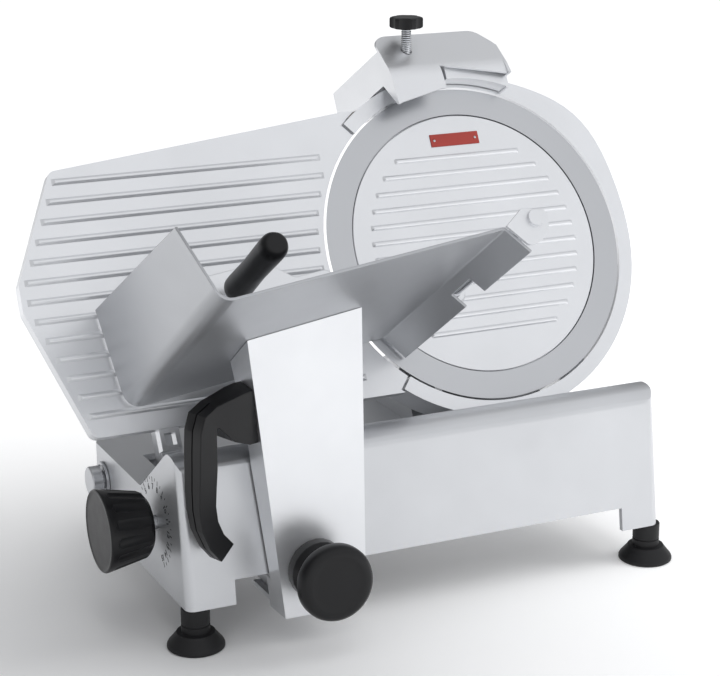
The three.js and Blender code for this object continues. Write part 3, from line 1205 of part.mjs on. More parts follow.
const pusherSlide = new THREE.Group();
traySide.add(pusherSlide);
const bushEnds = [pusher.at - pusher.bushBack, pusher.at - pusher.bushBack + pusher.bushLength];
const eyeEnds = [bushEnds[0] + pusher.bushCollar + fit.running,
  bushEnds[1] - pusher.bushCollar - fit.running];
function makePusherBush() {
  const sleeve = rod.radius + pusher.sleeve;
  const bore = rod.radius + fit.running;
  return turning([[bore, bushEnds[0]], [pusher.bush, bushEnds[0]], [pusher.bush,
    bushEnds[0] + pusher.bushCollar],
    [sleeve, bushEnds[0] + pusher.bushCollar], [sleeve, bushEnds[1] - pusher.bushCollar],
    [pusher.bush, bushEnds[1] - pusher.bushCollar], [pusher.bush, bushEnds[1]], [bore, bushEnds[1]],
    [bore, bushEnds[0]]],
  facets.medium);
}
piece(pusherSlide, 'pusher_bush', alongFront(makePusherBush()).translate(rodAcross, 0, rod.up),
  finish.bronze);

const pusherSwing = new THREE.Group();
pusherSwing.position.set(rodAcross, 0, rod.up);
pusherSlide.add(pusherSwing);
const pusherParts = new THREE.Group();
pusherParts.position.set(-rodAcross, 0, -rod.up);
pusherSwing.add(pusherParts);
function makePusherArm() {
  const sleeve = rod.radius + pusher.sleeve + fit.running;
  const eye = alongFront(drum(pusher.eye, ...eyeEnds)).translate(rodAcross, 0, rod.up);
  const bar = box([pusher.plateRight - pusher.pad, rodAcross], [-pusher.at - pusher.armWidth,
    -pusher.at - fit.seat],
    [pusher.armTop - pusher.armHeight, pusher.armTop]);
  const bore = alongFront(drum(sleeve, -tray.length, tray.length * 2)).translate(rodAcross, 0, rod.up);
  return cut(join(eye, bar), bore);
}
piece(pusherParts, 'pusher_arm', makePusherArm(), finish.casting);

function makePusherPlate() {
  const face = outline([[pusher.plateLeft, pusher.plateBottom, pusher.corner], [pusher.plateRight,
    pusher.plateBottom, pusher.corner],
    [pusher.plateRight, pusher.plateLow, pusher.corner], [pusher.stepTo, pusher.plateLow,
    pusher.corner / 2],
    [pusher.stepFrom, pusher.plateTop, pusher.corner], [pusher.plateLeft, pusher.plateTop, pusher.corner]]);
  return alongFront(slab(face, pusher.at - pusher.plate, pusher.at));
}
piece(pusherParts, 'pusher_plate', makePusherPlate(), finish.plate);
const handleFrom = pusher.at + pusher.stemLength;
const handleAt = (geometry) => alongFront(geometry).translate(pusher.handleE, 0, pusher.handleUp);
piece(pusherParts, 'pusher_stem', handleAt(drum(pusher.stem, pusher.at + fit.seat,
  handleFrom + pusher.handleLength / 2,
  facets.small)), finish.chrome);
piece(pusherParts, 'pusher_handle', handleAt(turning([[pusher.stem + fit.seat, handleFrom],
  [pusher.handle - pusher.handleEdge, handleFrom], [pusher.handle, handleFrom + pusher.handleEdge],
  [pusher.handleWaist, handleFrom + pusher.handleLength * share.handleWaist],
  [pusher.handle, handleFrom + pusher.handleLength - pusher.handleEdge],
  [pusher.handle - pusher.handleEdge, handleFrom + pusher.handleLength], [0,
  handleFrom + pusher.handleLength],
  [0, handleFrom + pusher.handleLength / 2 + fit.seat], [pusher.stem + fit.seat,
  handleFrom + pusher.handleLength / 2 + fit.seat],
  [pusher.stem + fit.seat, handleFrom]], facets.medium)), finish.black);

// The origin is the middle of the whole part's footprint on the table
const bounds = new THREE.Box3().setFromObject(machine, true);
machine.position.set(-(bounds.min.x + bounds.max.x) / 2, -(bounds.min.y + bounds.max.y) / 2, -bounds.min.z);

machine.name = 'slicer';
export default machine;
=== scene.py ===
"""Looks of the gravity-feed slicer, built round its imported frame. Lengths are metres."""

import json
import math

import bpy
from mathutils import Matrix, Vector


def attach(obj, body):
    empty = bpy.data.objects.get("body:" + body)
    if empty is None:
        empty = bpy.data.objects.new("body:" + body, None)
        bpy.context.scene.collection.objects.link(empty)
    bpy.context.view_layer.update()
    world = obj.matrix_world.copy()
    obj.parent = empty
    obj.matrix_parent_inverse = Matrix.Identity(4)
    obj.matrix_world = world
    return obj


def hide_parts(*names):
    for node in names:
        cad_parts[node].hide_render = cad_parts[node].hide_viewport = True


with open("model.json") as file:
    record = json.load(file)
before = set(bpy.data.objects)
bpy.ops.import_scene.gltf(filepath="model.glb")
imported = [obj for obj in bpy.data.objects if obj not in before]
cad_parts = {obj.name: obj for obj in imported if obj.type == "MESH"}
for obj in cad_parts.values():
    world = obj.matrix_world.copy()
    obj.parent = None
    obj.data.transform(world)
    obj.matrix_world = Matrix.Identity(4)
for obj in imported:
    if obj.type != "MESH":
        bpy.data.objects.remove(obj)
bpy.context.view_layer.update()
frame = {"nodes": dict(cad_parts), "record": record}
nodes = frame["nodes"]

BEHAVIOUR = frame["record"]["behaviour"]
JOINTS = {entry["name"]: entry for entry in BEHAVIOUR["joints"]}
BODY_OF = {node: body for body, members in BEHAVIOUR["bodies"].items() for node in members}
SLOTS = {entry["node"]: entry["material_slot"] for entry in frame["record"]["subparts"]}

# The blade's centre, and the spot on the table below it from which the machine's places are measured
CENTRE = Vector(JOINTS["blade_spin"]["pos_m"])
MACHINE = Vector((CENTRE.x, CENTRE.y, 0))


def picked():
    return bpy.context.active_object


# Materials

GRAIN_DETAIL = 4
DRIFT_DETAIL = 3
RELIEF_DETAIL = 3
DRIFT_FROM = 0.3
DRIFT_TO = 0.7
DULL_SHINE = 0.3
EVEN = (1, 1, 1)
BRUSHED = (1, 0.15, 1)


def noise_on(tree, where, scale, detail, stretch=EVEN):
    move = tree.nodes.new("ShaderNodeMapping")
    move.inputs["Scale"].default_value = stretch
    noise = tree.nodes.new("ShaderNodeTexNoise")
    noise.inputs["Scale"].default_value = scale
    noise.inputs["Detail"].default_value = detail
    tree.links.new(where.outputs["Object"], move.inputs["Vector"])
    tree.links.new(move.outputs["Vector"], noise.inputs["Vector"])
    return noise


def material(name, colour, metallic, roughness, grain=None, bump=None, tone=None):
    """grain is (scale, low, high, stretch) for the roughness, bump is (scale, strength, distance), and
    tone is (scale, darkening) for a slow drift of the colour."""
    mat = bpy.data.materials.new(name)
    mat.use_nodes = True
    tree = mat.node_tree
    shader = tree.nodes["Principled BSDF"]
    shader.inputs["Base Color"].default_value = (*colour, 1)
    shader.inputs["Metallic"].default_value = metallic
    shader.inputs["Roughness"].default_value = roughness
    if not metallic:
        shader.inputs["Specular IOR Level"].default_value = DULL_SHINE
    where = tree.nodes.new("ShaderNodeTexCoord")
    if grain:
        scale, low, high, stretch = grain
        noise = noise_on(tree, where, scale, GRAIN_DETAIL, stretch)
        span = tree.nodes.new("ShaderNodeMapRange")
        span.inputs["To Min"].default_value = low
        span.inputs["To Max"].default_value = high
        tree.links.new(noise.outputs["Fac"], span.inputs["Value"])
        tree.links.new(span.outputs["Result"], shader.inputs["Roughness"])
    if tone:
        scale, darkening = tone
        drift = noise_on(tree, where, scale, DRIFT_DETAIL)
        ramp = tree.nodes.new("ShaderNodeValToRGB")
        ramp.color_ramp.elements[0].position = DRIFT_FROM
        ramp.color_ramp.elements[1].position = DRIFT_TO
        ramp.color_ramp.elements[0].color = (*[part * (1 - darkening) for part in colour], 1)
        ramp.color_ramp.elements[1].color = (*colour, 1)
        tree.links.new(drift.outputs["Fac"], ramp.inputs["Fac"])
        tree.links.new(ramp.outputs["Color"], shader.inputs["Base Color"])
    if bump:
        scale, strength, distance = bump
        rough = noise_on(tree, where, scale, RELIEF_DETAIL)
        relief = tree.nodes.new("ShaderNodeBump")
        relief.inputs["Strength"].default_value = strength
        relief.inputs["Distance"].default_value = distance
        tree.links.new(rough.outputs["Fac"], relief.inputs["Height"])
        tree.links.new(relief.outputs["Normal"], shader.inputs["Normal"])
    return mat


MATS = {
    "casting": material("cast_aluminium", (0.66, 0.67, 0.69), 0.85, 0.38, grain=(40, 0.32, 0.42, EVEN),
                        bump=(900, 0.05, 0.0004), tone=(9, 0.08)),
    "plate": material("anodised_plate", (0.82, 0.83, 0.85), 0.85, 0.34, grain=(60, 0.29, 0.38, EVEN),
                      bump=(1200, 0.03, 0.0003), tone=(12, 0.05)),
    "sheet": material("brushed_sheet", (0.5, 0.51, 0.53), 0.9, 0.36, grain=(50, 0.31, 0.4, BRUSHED),
                      tone=(8, 0.06)),
    "steel": material("ground_steel", (0.6, 0.61, 0.63), 1, 0.32, grain=(7, 0.3, 0.34, EVEN), tone=(5, 0.05)),
    "chrome": material("polished_chrome", (0.7, 0.71, 0.73), 1, 0.1, grain=(30, 0.06, 0.14, EVEN)),
    "black": material("black_moulding", (0.008, 0.008, 0.009), 0, 0.32, grain=(90, 0.27, 0.4, EVEN),
                      bump=(1500, 0.08, 0.0002)),
    "rubber": material("black_rubber", (0.012, 0.012, 0.013), 0, 0.5, grain=(70, 0.42, 0.6, EVEN),
                       bump=(700, 0.1, 0.0003)),
    "stone": material("abrasive_stone", (0.35, 0.29, 0.24), 0, 0.9, bump=(2500, 0.6, 0.0006),
                      tone=(200, 0.2)),
    "bronze": material("bronze", (0.45, 0.31, 0.15), 1, 0.35, grain=(60, 0.28, 0.42, EVEN), tone=(30, 0.1)),
    "enamel": material("dark_enamel", (0.06, 0.065, 0.075), 0.2, 0.45, grain=(60, 0.4, 0.52, EVEN),
                       tone=(10, 0.1)),
    "print": material("dial_print", (0.05, 0.05, 0.055), 0, 0.5, grain=(90, 0.45, 0.6, EVEN)),
    "badge": material("plain_badge", (0.36, 0.05, 0.04), 0, 0.38, grain=(60, 0.32, 0.46, EVEN),
                      tone=(40, 0.12)),
}
for node, obj in nodes.items():
    obj.data.materials.clear()
    obj.data.materials.append(MATS[SLOTS[node]])


# Working planes: each carries a piece that is shaped at the origin to its place

def plane(x, y, z, origin):
    matrix = Matrix((x, y, z)).transposed().to_4x4()
    matrix.translation = origin
    return matrix


BLADE_LEAN = math.radians(28.8)
BLADE = plane((1, 0, 0), (0, math.sin(BLADE_LEAN), math.cos(BLADE_LEAN)),
              (0, -math.cos(BLADE_LEAN), math.sin(BLADE_LEAN)), CENTRE)
TRAY = plane((0.991671, 0.072394, 0.106524), (0, 0.827081, -0.562083), (-0.128796, 0.557402, 0.820192),
             MACHINE + Vector((-0.3636, -0.0554, 0.1915)))
LOCK = plane((1, 0, 0), (0, 0.050593, 0.998719), (0, -0.998719, 0.050593),
             Vector(JOINTS["lock_turn"]["pos_m"]))
LEFT_END = plane((0, -1, 0), (0, 0, 1), (-1, 0, 0), MACHINE + Vector((-0.35, 0, 0)))
CLAMP = Matrix.Translation(Vector(JOINTS["clamp_turn"]["pos_m"]))
UPRIGHT = Matrix.Translation(MACHINE)
# Lays an upright piece along the tray's floor, towards the front
ALONG_TRAY = Matrix.Rotation(math.pi / 2, 4, "X")


# Bench work: every piece is shaped alone, then finished

FACES_UP = 0.9
MERGE_DISTANCE = 0.00001
SAME_PLANE = math.radians(0.4)


def alone(obj):
    bpy.ops.object.select_all(action="DESELECT")
    obj.select_set(True)
    bpy.context.view_layer.objects.active = obj


def settle(obj):
    alone(obj)
    bpy.ops.object.transform_apply(location=True, rotation=True, scale=True)
    return obj


def block(low, high):
    bpy.ops.object.select_all(action="DESELECT")
    middle = [(a + b) / 2 for a, b in zip(low, high)]
    bpy.ops.mesh.primitive_cube_add(size=1, location=middle)
    obj = picked()
    obj.scale = [b - a for a, b in zip(low, high)]
    return settle(obj)


def only_faces(obj, wanted):
    """Selects just the faces that the test picks, for the edit that follows."""
    for edge in obj.data.edges:
        edge.select = False
    for vertex in obj.data.vertices:
        vertex.select = False
    for face in obj.data.polygons:
        face.select = bool(wanted(face))


def turned(steps, sides=64):
    """A turned piece from (height, radius) steps: each step draws out the last face and sizes it."""
    (foot, foot_radius), (top, radius) = steps[0], steps[1]
    bpy.ops.object.select_all(action="DESELECT")
    bpy.ops.mesh.primitive_cone_add(vertices=sides, radius1=foot_radius, radius2=radius, depth=top - foot,
                                    location=(0, 0, (foot + top) / 2))
    obj = settle(picked())
    only_faces(obj, lambda face: face.normal.z > FACES_UP and len(face.vertices) == sides)
    bpy.ops.object.mode_set(mode="EDIT")
    bpy.ops.mesh.select_mode(type="FACE")
    for height, size in steps[2:]:
        bpy.ops.mesh.extrude_region_move(TRANSFORM_OT_translate={"value": (0, 0, height - top)})
        grow = size / radius
        bpy.ops.transform.resize(value=(grow, grow, 1), center_override=(0, 0, height))
        top, radius = height, size
    bpy.ops.object.mode_set(mode="OBJECT")
    return obj


def headings(points):
    """The angle from upright at which each point of a path in the XZ plane is passed."""
    lean = []
    for a, b in zip(points, points[1:]):
        way = math.atan2(b[0] - a[0], b[2] - a[2])
        lean.append(way + round((lean[-1] - way) / math.tau) * math.tau if lean else way)
    return [lean[0]] + [(a + b) / 2 for a, b in zip(lean, lean[1:])] + [lean[-1]]


def drawn(points, sizes):
    """A bar drawn out through (x, y, z) points, its end turned to face on and sized (wide, deep) at each."""
    lean = headings(points)
    first_slice = 0.001
    wide, deep = sizes[0]
    obj = block((-deep / 2, -wide / 2, -first_slice), (deep / 2, wide / 2, 0))
    only_faces(obj, lambda face: face.normal.z > FACES_UP)
    obj.rotation_euler = (0, lean[0], 0)
    obj.location = points[0]
    settle(obj)
    bpy.ops.object.mode_set(mode="EDIT")
    bpy.ops.mesh.select_mode(type="FACE")
    for i in range(1, len(points)):
        step = Vector(points[i]) - Vector(points[i - 1])
        bpy.ops.mesh.extrude_region_move(TRANSFORM_OT_translate={"value": step})
        turn = lean[i] - lean[i - 1]
        if turn:
            bpy.ops.transform.rotate(value=-turn, orient_axis="Y", orient_type="GLOBAL",
                                     center_override=points[i])
        across, along = [new / old for new, old in zip(sizes[i], sizes[i - 1])]
        if (across, along) != (1, 1):
            bpy.ops.transform.resize(value=(along, across, along), center_override=points[i])
    bpy.ops.mesh.select_all(action="SELECT")
    bpy.ops.mesh.normals_make_consistent(inside=False)
    bpy.ops.object.mode_set(mode="OBJECT")
    return obj


def applied(obj, kind, **settings):
    alone(obj)
    work = obj.modifiers.new(kind.lower(), kind)
    for key, value in settings.items():
        setattr(work, key, value)
    bpy.ops.object.modifier_apply(modifier=work.name)
    return obj


def rounded(obj, width, segments=3, angle=30):
    """Bevels the edges that turn by more than the angle, in degrees."""
    return applied(obj, "BEVEL", width=width, segments=segments, limit_method="ANGLE",
                   angle_limit=math.radians(angle), use_clamp_overlap=True, harden_normals=False)


def cut(obj, *tools):
    for tool in tools:
        applied(obj, "BOOLEAN", operation="DIFFERENCE", object=tool, solver="EXACT")
        bpy.data.objects.remove(tool)
    return obj


def together(objs):
    bpy.ops.object.select_all(action="DESELECT")
    for obj in objs:
        obj.select_set(True)
    bpy.context.view_layer.objects.active = objs[0]
    bpy.ops.object.join()
    return objs[0]


def copied(obj):
    twin = bpy.data.objects.new(obj.name, obj.data.copy())
    bpy.context.scene.collection.objects.link(twin)
    return twin


def ringed(obj, start, step, count):
    """Copies of a piece turned about the upright axis, step by step; the piece itself is used up."""
    twins = []
    for i in range(count):
        twin = copied(obj)
        twin.rotation_euler = (0, 0, start + i * step)
        twins.append(settle(twin))
    bpy.data.objects.remove(obj)
    return twins


def sliced(obj, point, normal):
    """Cuts away what lies on the normal's side of a plane and closes the cut."""
    alone(obj)
    bpy.ops.object.mode_set(mode="EDIT")
    bpy.ops.mesh.select_all(action="SELECT")
    bpy.ops.mesh.bisect(plane_co=point, plane_no=normal, use_fill=True, clear_outer=True)
    bpy.ops.object.mode_set(mode="OBJECT")
    return obj


def laid(obj, matrix):
    obj.matrix_world = matrix
    return settle(obj)


def ready(obj, name, finish, body, *replaced, angle=32, slot=None):
    """Names and finishes a piece. Edges that turn by more than the angle, in degrees, stay sharp."""
    alone(obj)
    obj.name = name
    obj.data.name = name
    obj.data.materials.clear()
    obj.data.materials.append(MATS[finish])
    for face in obj.data.polygons:
        face.material_index = 0
    bpy.ops.object.shade_smooth_by_angle(angle=math.radians(angle))
    applied(obj, "WEIGHTED_NORMAL", mode="FACE_AREA", weight=50, keep_sharp=True)
    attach(obj, body)
    if replaced:
        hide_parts(*replaced)
    return obj


def slot_of(node, finish):
    """A finish that has no slot of its own counts under the slot of the node."""
    return finish if finish in SLOTS.values() else SLOTS[node]


# The CAD nodes that already have their finished piece
done = set()


def eased(node, width=0.0006, segments=2, finish=None):
    """A CAD node's own form with its edges eased, or just merged where the width is 0."""
    bpy.ops.object.select_all(action="DESELECT")
    obj = copied(nodes[node])
    alone(obj)
    bpy.ops.object.mode_set(mode="EDIT")
    bpy.ops.mesh.select_all(action="SELECT")
    bpy.ops.mesh.remove_doubles(threshold=MERGE_DISTANCE)
    bpy.ops.mesh.dissolve_limited(angle_limit=SAME_PLANE)
    bpy.ops.object.mode_set(mode="OBJECT")
    if width:
        rounded(obj, width, segments)
    done.add(node)
    finish = finish or SLOTS[node]
    return ready(obj, node + "_form", finish, BODY_OF[node], node, slot=slot_of(node, finish))


def made(obj, name, finish, node, angle=32):
    """A piece modelled here, which stands for a CAD node."""
    done.add(node)
    return ready(obj, name, finish, BODY_OF[node], node, angle=angle, slot=slot_of(node, finish))


# Feet: a flared rubber pad with a grooved neck

FOOT_PLACES = {"front_left": (-0.339, -0.1387, 0), "front_right": (0.110, -0.1387, 0),
               "rear_left": (-0.288, 0.139, 0), "rear_right": (0.055, 0.139, 0)}
foot = turned([(0, 0.0235), (0.001, 0.0248), (0.003, 0.0248), (0.005, 0.0238), (0.0125, 0.0176),
               (0.0142, 0.0166), (0.0146, 0.0124), (0.0205, 0.0124), (0.021, 0.0116), (0.0222, 0.0116),
               (0.0227, 0.0124), (0.0355, 0.0124), (0.0361, 0.0119)], 48)
for corner, place in FOOT_PLACES.items():
    twin = laid(copied(foot), UPRIGHT @ Matrix.Translation(place))
    made(twin, "rubber_foot_" + corner, "rubber", "foot_" + corner, angle=40)
bpy.data.objects.remove(foot)


# Blade, its ribbed cover and the guard

WIDE_ROUND_SIDES = 160
blade = turned([(-0.0072, 0.116), (-0.0018, 0.1455), (-0.0008, 0.1499), (-0.0004, 0.1499), (0, 0.146),
                (0, 0.1249), (-0.0042, 0.1248), (-0.0042, 0.02)], WIDE_ROUND_SIDES)
made(laid(blade, BLADE), "round_blade", "steel", "blade", angle=20)

# A rib's top is shorter and narrower than its foot by these shares of its width
RIB_END_SHARE = 1.1
RIB_TOP_SHARE = 0.34
RIB_EASE_SHARE = 0.16


def ribs(rows, width, height, sunk):
    """Soft ribs drawn as low bars with their ends and sides sloped, from (start, end, across) rows."""
    bars = []
    for start, end, across in rows:
        bar = block((start, across - width / 2, -sunk), (end, across + width / 2, height))
        only_faces(bar, lambda face: face.normal.z > FACES_UP)
        bpy.ops.object.mode_set(mode="EDIT")
        span = end - start
        bpy.ops.transform.resize(value=(1 - width * RIB_END_SHARE / span, RIB_TOP_SHARE, 1),
                                 center_override=((start + end) / 2, across, height))
        bpy.ops.object.mode_set(mode="OBJECT")
        rounded(bar, width * RIB_EASE_SHARE, 4, 15)
        bars.append(bar)
    return together(bars)


COVER_RIBS = 12
COVER_PITCH = 0.0152
COVER_TOP_RIB = 0.084
COVER_RIB_REACH = 0.1075
COVER_RIB = {"width": 0.0066, "height": 0.0018, "sunk": 0.001}
rows = []
for i in range(COVER_RIBS):
    across = COVER_TOP_RIB - i * COVER_PITCH
    reach = math.sqrt(COVER_RIB_REACH ** 2 - across ** 2)
    rows.append((-reach, reach, across))
cover = turned([(-0.0034, 0.1232), (-0.0006, 0.1239), (-0.0002, 0.1236), (0, 0.123)], WIDE_ROUND_SIDES)
made(laid(together([cover, ribs(rows, **COVER_RIB)]), BLADE), "ribbed_blade_cover", "plate", "blade_cover",
     angle=40)

BADGE_LOW = (-0.0245, 0.0945, -0.0004)
BADGE_HIGH = (0.0265, 0.1068, 0.0008)
RIVET_PLACES = [(-0.0205, 0.1006, 0), (0.0225, 0.1006, 0)]
badge = rounded(block(BADGE_LOW, BADGE_HIGH), 0.0022, 4, 60)
ready(laid(badge, BLADE), "plain_badge", "badge", "base", slot="enamel")
rivet = turned([(0.0007, 0.0012), (0.0011, 0.0012), (0.0014, 0.0008)], 20)
rivets = [laid(copied(rivet), Matrix.Translation(place)) for place in RIVET_PLACES]
bpy.data.objects.remove(rivet)
ready(laid(together(rivets), BLADE), "badge_rivets", "steel", "base")

eased("blade_guard", 0.0009, 3)
eased("gauge_plate", 0.0008, 3)


# Ribs on the gauge plate, which end short of its slanting left edge and of the blade

GAUGE_RIBS = 13
GAUGE_TOP_RIB = 0.096
GAUGE_RIB_SPAN = 0.208
GAUGE_LEFT = -0.438
# From the leftmost side each edge slants to a corner, as (corner's x, corner's height, where it leaves)
GAUGE_UPPER_EDGE = (-0.393, 0.106, 0.008)
GAUGE_LOWER_EDGE = (-0.397, -0.131, -0.016)
GAUGE_RIB_MARGIN = 0.0045
GAUGE_RIB_END = -0.1375
BLADE_ROOM_RADIUS = 0.1565
GAUGE_FACE = -0.002
GAUGE_RIB = {"width": 0.0076, "height": 0.0021, "sunk": 0.0015}
rows = []
for i in range(GAUGE_RIBS):
    across = GAUGE_TOP_RIB - i * GAUGE_RIB_SPAN / (GAUGE_RIBS - 1)
    edge = GAUGE_UPPER_EDGE if across > GAUGE_LOWER_EDGE[2] else GAUGE_LOWER_EDGE
    corner_x, corner_height, leaves = edge
    along = min(max((across - leaves) / (corner_height - leaves), 0), 1)
    start = GAUGE_LEFT + along * (corner_x - GAUGE_LEFT) + GAUGE_RIB_MARGIN
    end = min(GAUGE_RIB_END, -math.sqrt(BLADE_ROOM_RADIUS ** 2 - across ** 2))
    rows.append((start, end, across))
ready(laid(ribs(rows, **GAUGE_RIB), BLADE @ Matrix.Translation((0, 0, GAUGE_FACE))), "gauge_plate_ribs",
      "plate", "gauge", angle=40)


# Carriage: column, tray and rod

eased("column", 0.0012, 3)
eased("tray", 0.0007, 2, "sheet")
eased("rod_bracket_front", 0.0007, 2)
eased("rod_bracket_rear", 0.0007, 2)
eased("pusher_arm", 0.0012, 3)
eased("pusher_bush", 0.0004, 2, "plate")
eased("pusher_plate", 0.0012, 3)
eased("lock_collar", 0.0009, 2)
eased("lock_ring", 0.0012, 3)

HANDLE_PLACE = (0.088, -0.099, 0.05)
handle = turned([(0, 0.0085), (0.0015, 0.0108), (0.005, 0.0119), (0.012, 0.012), (0.05, 0.0111),
                 (0.095, 0.012), (0.102, 0.0116), (0.1062, 0.0098), (0.108, 0.0066)], 40)
made(laid(handle, TRAY @ Matrix.Translation(HANDLE_PLACE) @ ALONG_TRAY), "pusher_grip", "black",
     "pusher_handle", angle=50)

lock = turned([(-0.009, 0.006), (0.0223, 0.006), (0.0223, 0.013), (0.0303, 0.013), (0.0303, 0.0285),
               (0.0322, 0.0316), (0.0355, 0.033), (0.0415, 0.033), (0.0449, 0.0318), (0.0468, 0.0292),
               (0.0475, 0.025), (0.0471, 0.0232), (0.0468, 0.019)])
made(laid(lock, LOCK), "lock_knob_turned", "black", "lock_knob", angle=35)


# Grip by which the carriage is pushed: it fans out to the column, and its two halves meet in a groove

GRIP_TURN = math.radians(20)
GRIP = plane((-math.cos(GRIP_TURN), -math.sin(GRIP_TURN), 0), (math.sin(GRIP_TURN), -math.cos(GRIP_TURN), 0),
             (0, 0, 1), MACHINE + Vector((-0.303, -0.154, 0.21)))
# The bar's course from the column down to its tip, as (x, z, wide, deep)
GRIP_STEPS = [(-0.016, -0.004, 0.026, 0.047), (-0.004, -0.0035, 0.026, 0.047), (0.009, -0.001, 0.025, 0.041),
              (0.021, 0.0025, 0.023, 0.028), (0.0305, 0.004, 0.0215, 0.0195), (0.038, 0.0012, 0.0215, 0.018),
              (0.0408, -0.0075, 0.0215, 0.0175), (0.0412, -0.0235, 0.0212, 0.0185),
              (0.0413, -0.04, 0.0208, 0.019), (0.0421, -0.056, 0.02, 0.0185), (0.042, -0.073, 0.018, 0.018),
              (0.0392, -0.089, 0.0168, 0.018), (0.0318, -0.1045, 0.0158, 0.018),
              (0.0205, -0.1175, 0.0155, 0.0185)]
GROOVE_FROM_STEP = 4
GROOVE_SIZE = (0.0014, 0.003)
COLUMN_EDGE = MACHINE + Vector((-0.2918, -0.154, 0.21))
COLUMN_EDGE_FACES = (0.9945, 0, 0.1045)
grip_path = [(x, 0, z) for x, z, wide, deep in GRIP_STEPS]
bar = drawn(grip_path, [(wide, deep) for x, z, wide, deep in GRIP_STEPS])
rounded(bar, 0.004, 4, 50)
groove_path = []
for (x, z, wide, deep), lean in list(zip(GRIP_STEPS, headings(grip_path)))[GROOVE_FROM_STEP:]:
    out = deep / 2
    groove_path.append((x - out * math.cos(lean), 0, z + out * math.sin(lean)))
run_out = Vector(groove_path[-1]) - Vector(groove_path[-2])
groove_path.append(tuple(Vector(groove_path[-1]) + run_out))
cut(bar, drawn(groove_path, [GROOVE_SIZE] * len(groove_path)))
laid(bar, GRIP)
sliced(bar, COLUMN_EDGE, COLUMN_EDGE_FACES)
made(bar, "carriage_grip", "black", "grip_handle", angle=40)


# Dial knob, and the marks and figures round it on the left end wall

DIAL = LEFT_END @ Matrix.Translation((0.076, 0.092, 0))
FLUTES = 14
FLUTE_RADIUS = 0.0085
# The flutes lean outwards like the knob's wall, and this point is on their middle line
FLUTE_LEAN = math.atan2(0.007, 0.0345)
FLUTE_PLACE = (0.0391, 0, 0.0285)
knob = turned([(0.008, 0.022), (0.0084, 0.0232), (0.0122, 0.028), (0.0138, 0.0291),
               (0.048, 0.036), (0.0502, 0.0362), (0.0512, 0.0356), (0.0515, 0.0345), (0.051, 0.033),
               (0.0508, 0.03)], 96)
flute = rounded(turned([(-0.03, FLUTE_RADIUS), (0.0165, FLUTE_RADIUS)], 36), 0.004, 5, 60)
flute.rotation_euler = (0, FLUTE_LEAN, 0)
flute.location = FLUTE_PLACE
cut(knob, *ringed(settle(flute), 0, math.tau / FLUTES, FLUTES))
rounded(knob, 0.0009, 3, 40)
made(laid(knob, DIAL), "fluted_dial_knob", "black", "thickness_knob")

TOP_FIGURE = 15
MARK_START = math.radians(240)
MARK_STEP = math.radians(-20)
MARK_END_RADIUS = 0.0399
MARK_HEIGHT = 0.00012
MARK_EASE = 0.00008
MARK_SUNK = 0.0003
# The inner radius and half the width of each kind of mark
LONG_MARK = (0.0353, 0.0005)
SHORT_MARK = (0.037, 0.0004)


def mark(inner, half):
    bar = block((inner, -half, -MARK_SUNK), (MARK_END_RADIUS, half, MARK_HEIGHT))
    return rounded(bar, MARK_EASE, 2, 60)


ticks = ringed(mark(*LONG_MARK), MARK_START, MARK_STEP, TOP_FIGURE + 1)
ticks += ringed(mark(*SHORT_MARK), MARK_START + MARK_STEP / 2, MARK_STEP, TOP_FIGURE)
ready(laid(together(ticks), DIAL), "dial_marks", "print", "base", slot="black")

FIGURE_RADIUS = 0.0312
FIGURE_SIZE = 0.0072
FIGURE_THICKENING = 0.00022


def dial_figure(number):
    """A figure that stands upright on the radius to its mark."""
    turn = MARK_START + number * MARK_STEP
    bpy.ops.object.select_all(action="DESELECT")
    bpy.ops.object.text_add(location=(0, 0, 0))
    figure = picked()
    figure.data.body = str(number)
    figure.data.size = FIGURE_SIZE
    figure.data.extrude = MARK_HEIGHT
    figure.data.offset = FIGURE_THICKENING
    figure.data.align_x = "CENTER"
    figure.data.align_y = "CENTER"
    figure.location = (FIGURE_RADIUS * math.cos(turn), FIGURE_RADIUS * math.sin(turn), 0)
    figure.rotation_euler = (0, 0, turn - math.pi / 2)
    alone(figure)
    bpy.ops.object.convert(target="MESH")
    return settle(picked())


figures = [dial_figure(number) for number in range(TOP_FIGURE + 1)]
ready(laid(together(figures), DIAL), "dial_figures", "print", "base", slot="black")


# Sharpener, and its clamp knob on a threaded screw

CLAMP_HOLLOWS = 6
HOLLOW_PLACE = (0.0208, 0, 0)
HOLLOW_RADIUS = 0.0085
THREAD_START = -0.0106
THREAD_PITCH = 0.002
THREAD_TURNS = 16
CREST_RADIUS = 0.0049
ROOT_RADIUS = 0.0042
ROOT_AFTER = 0.0008
eased("sharpener_body", 0.0008, 3)
clamp = turned([(0.021, 0.0135), (0.0218, 0.0152), (0.0228, 0.0158), (0.0298, 0.0158), (0.0308, 0.0152),
                (0.0315, 0.0132)], 60)
hollow = laid(turned([(0.015, HOLLOW_RADIUS), (0.04, HOLLOW_RADIUS)], 32), Matrix.Translation(HOLLOW_PLACE))
cut(clamp, *ringed(hollow, 0, math.tau / CLAMP_HOLLOWS, CLAMP_HOLLOWS))
rounded(clamp, 0.0008, 3, 40)
lobed_knob = ready(laid(clamp, CLAMP), "clamp_knob_lobed", "black", "clamp_knob")
thread = [(-0.012, 0.0036), (-0.0114, 0.0048)]
for i in range(THREAD_TURNS):
    crest = THREAD_START + i * THREAD_PITCH
    thread += [(crest, CREST_RADIUS), (crest + ROOT_AFTER, ROOT_RADIUS)]
thread += [(0.0225, 0.0045)]
made(laid(turned(thread, 32), CLAMP), "clamp_screw", "chrome", "clamp_knob", angle=25)
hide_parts("clamp_knob")


# Screws that hold the rod's brackets to the tray's flange

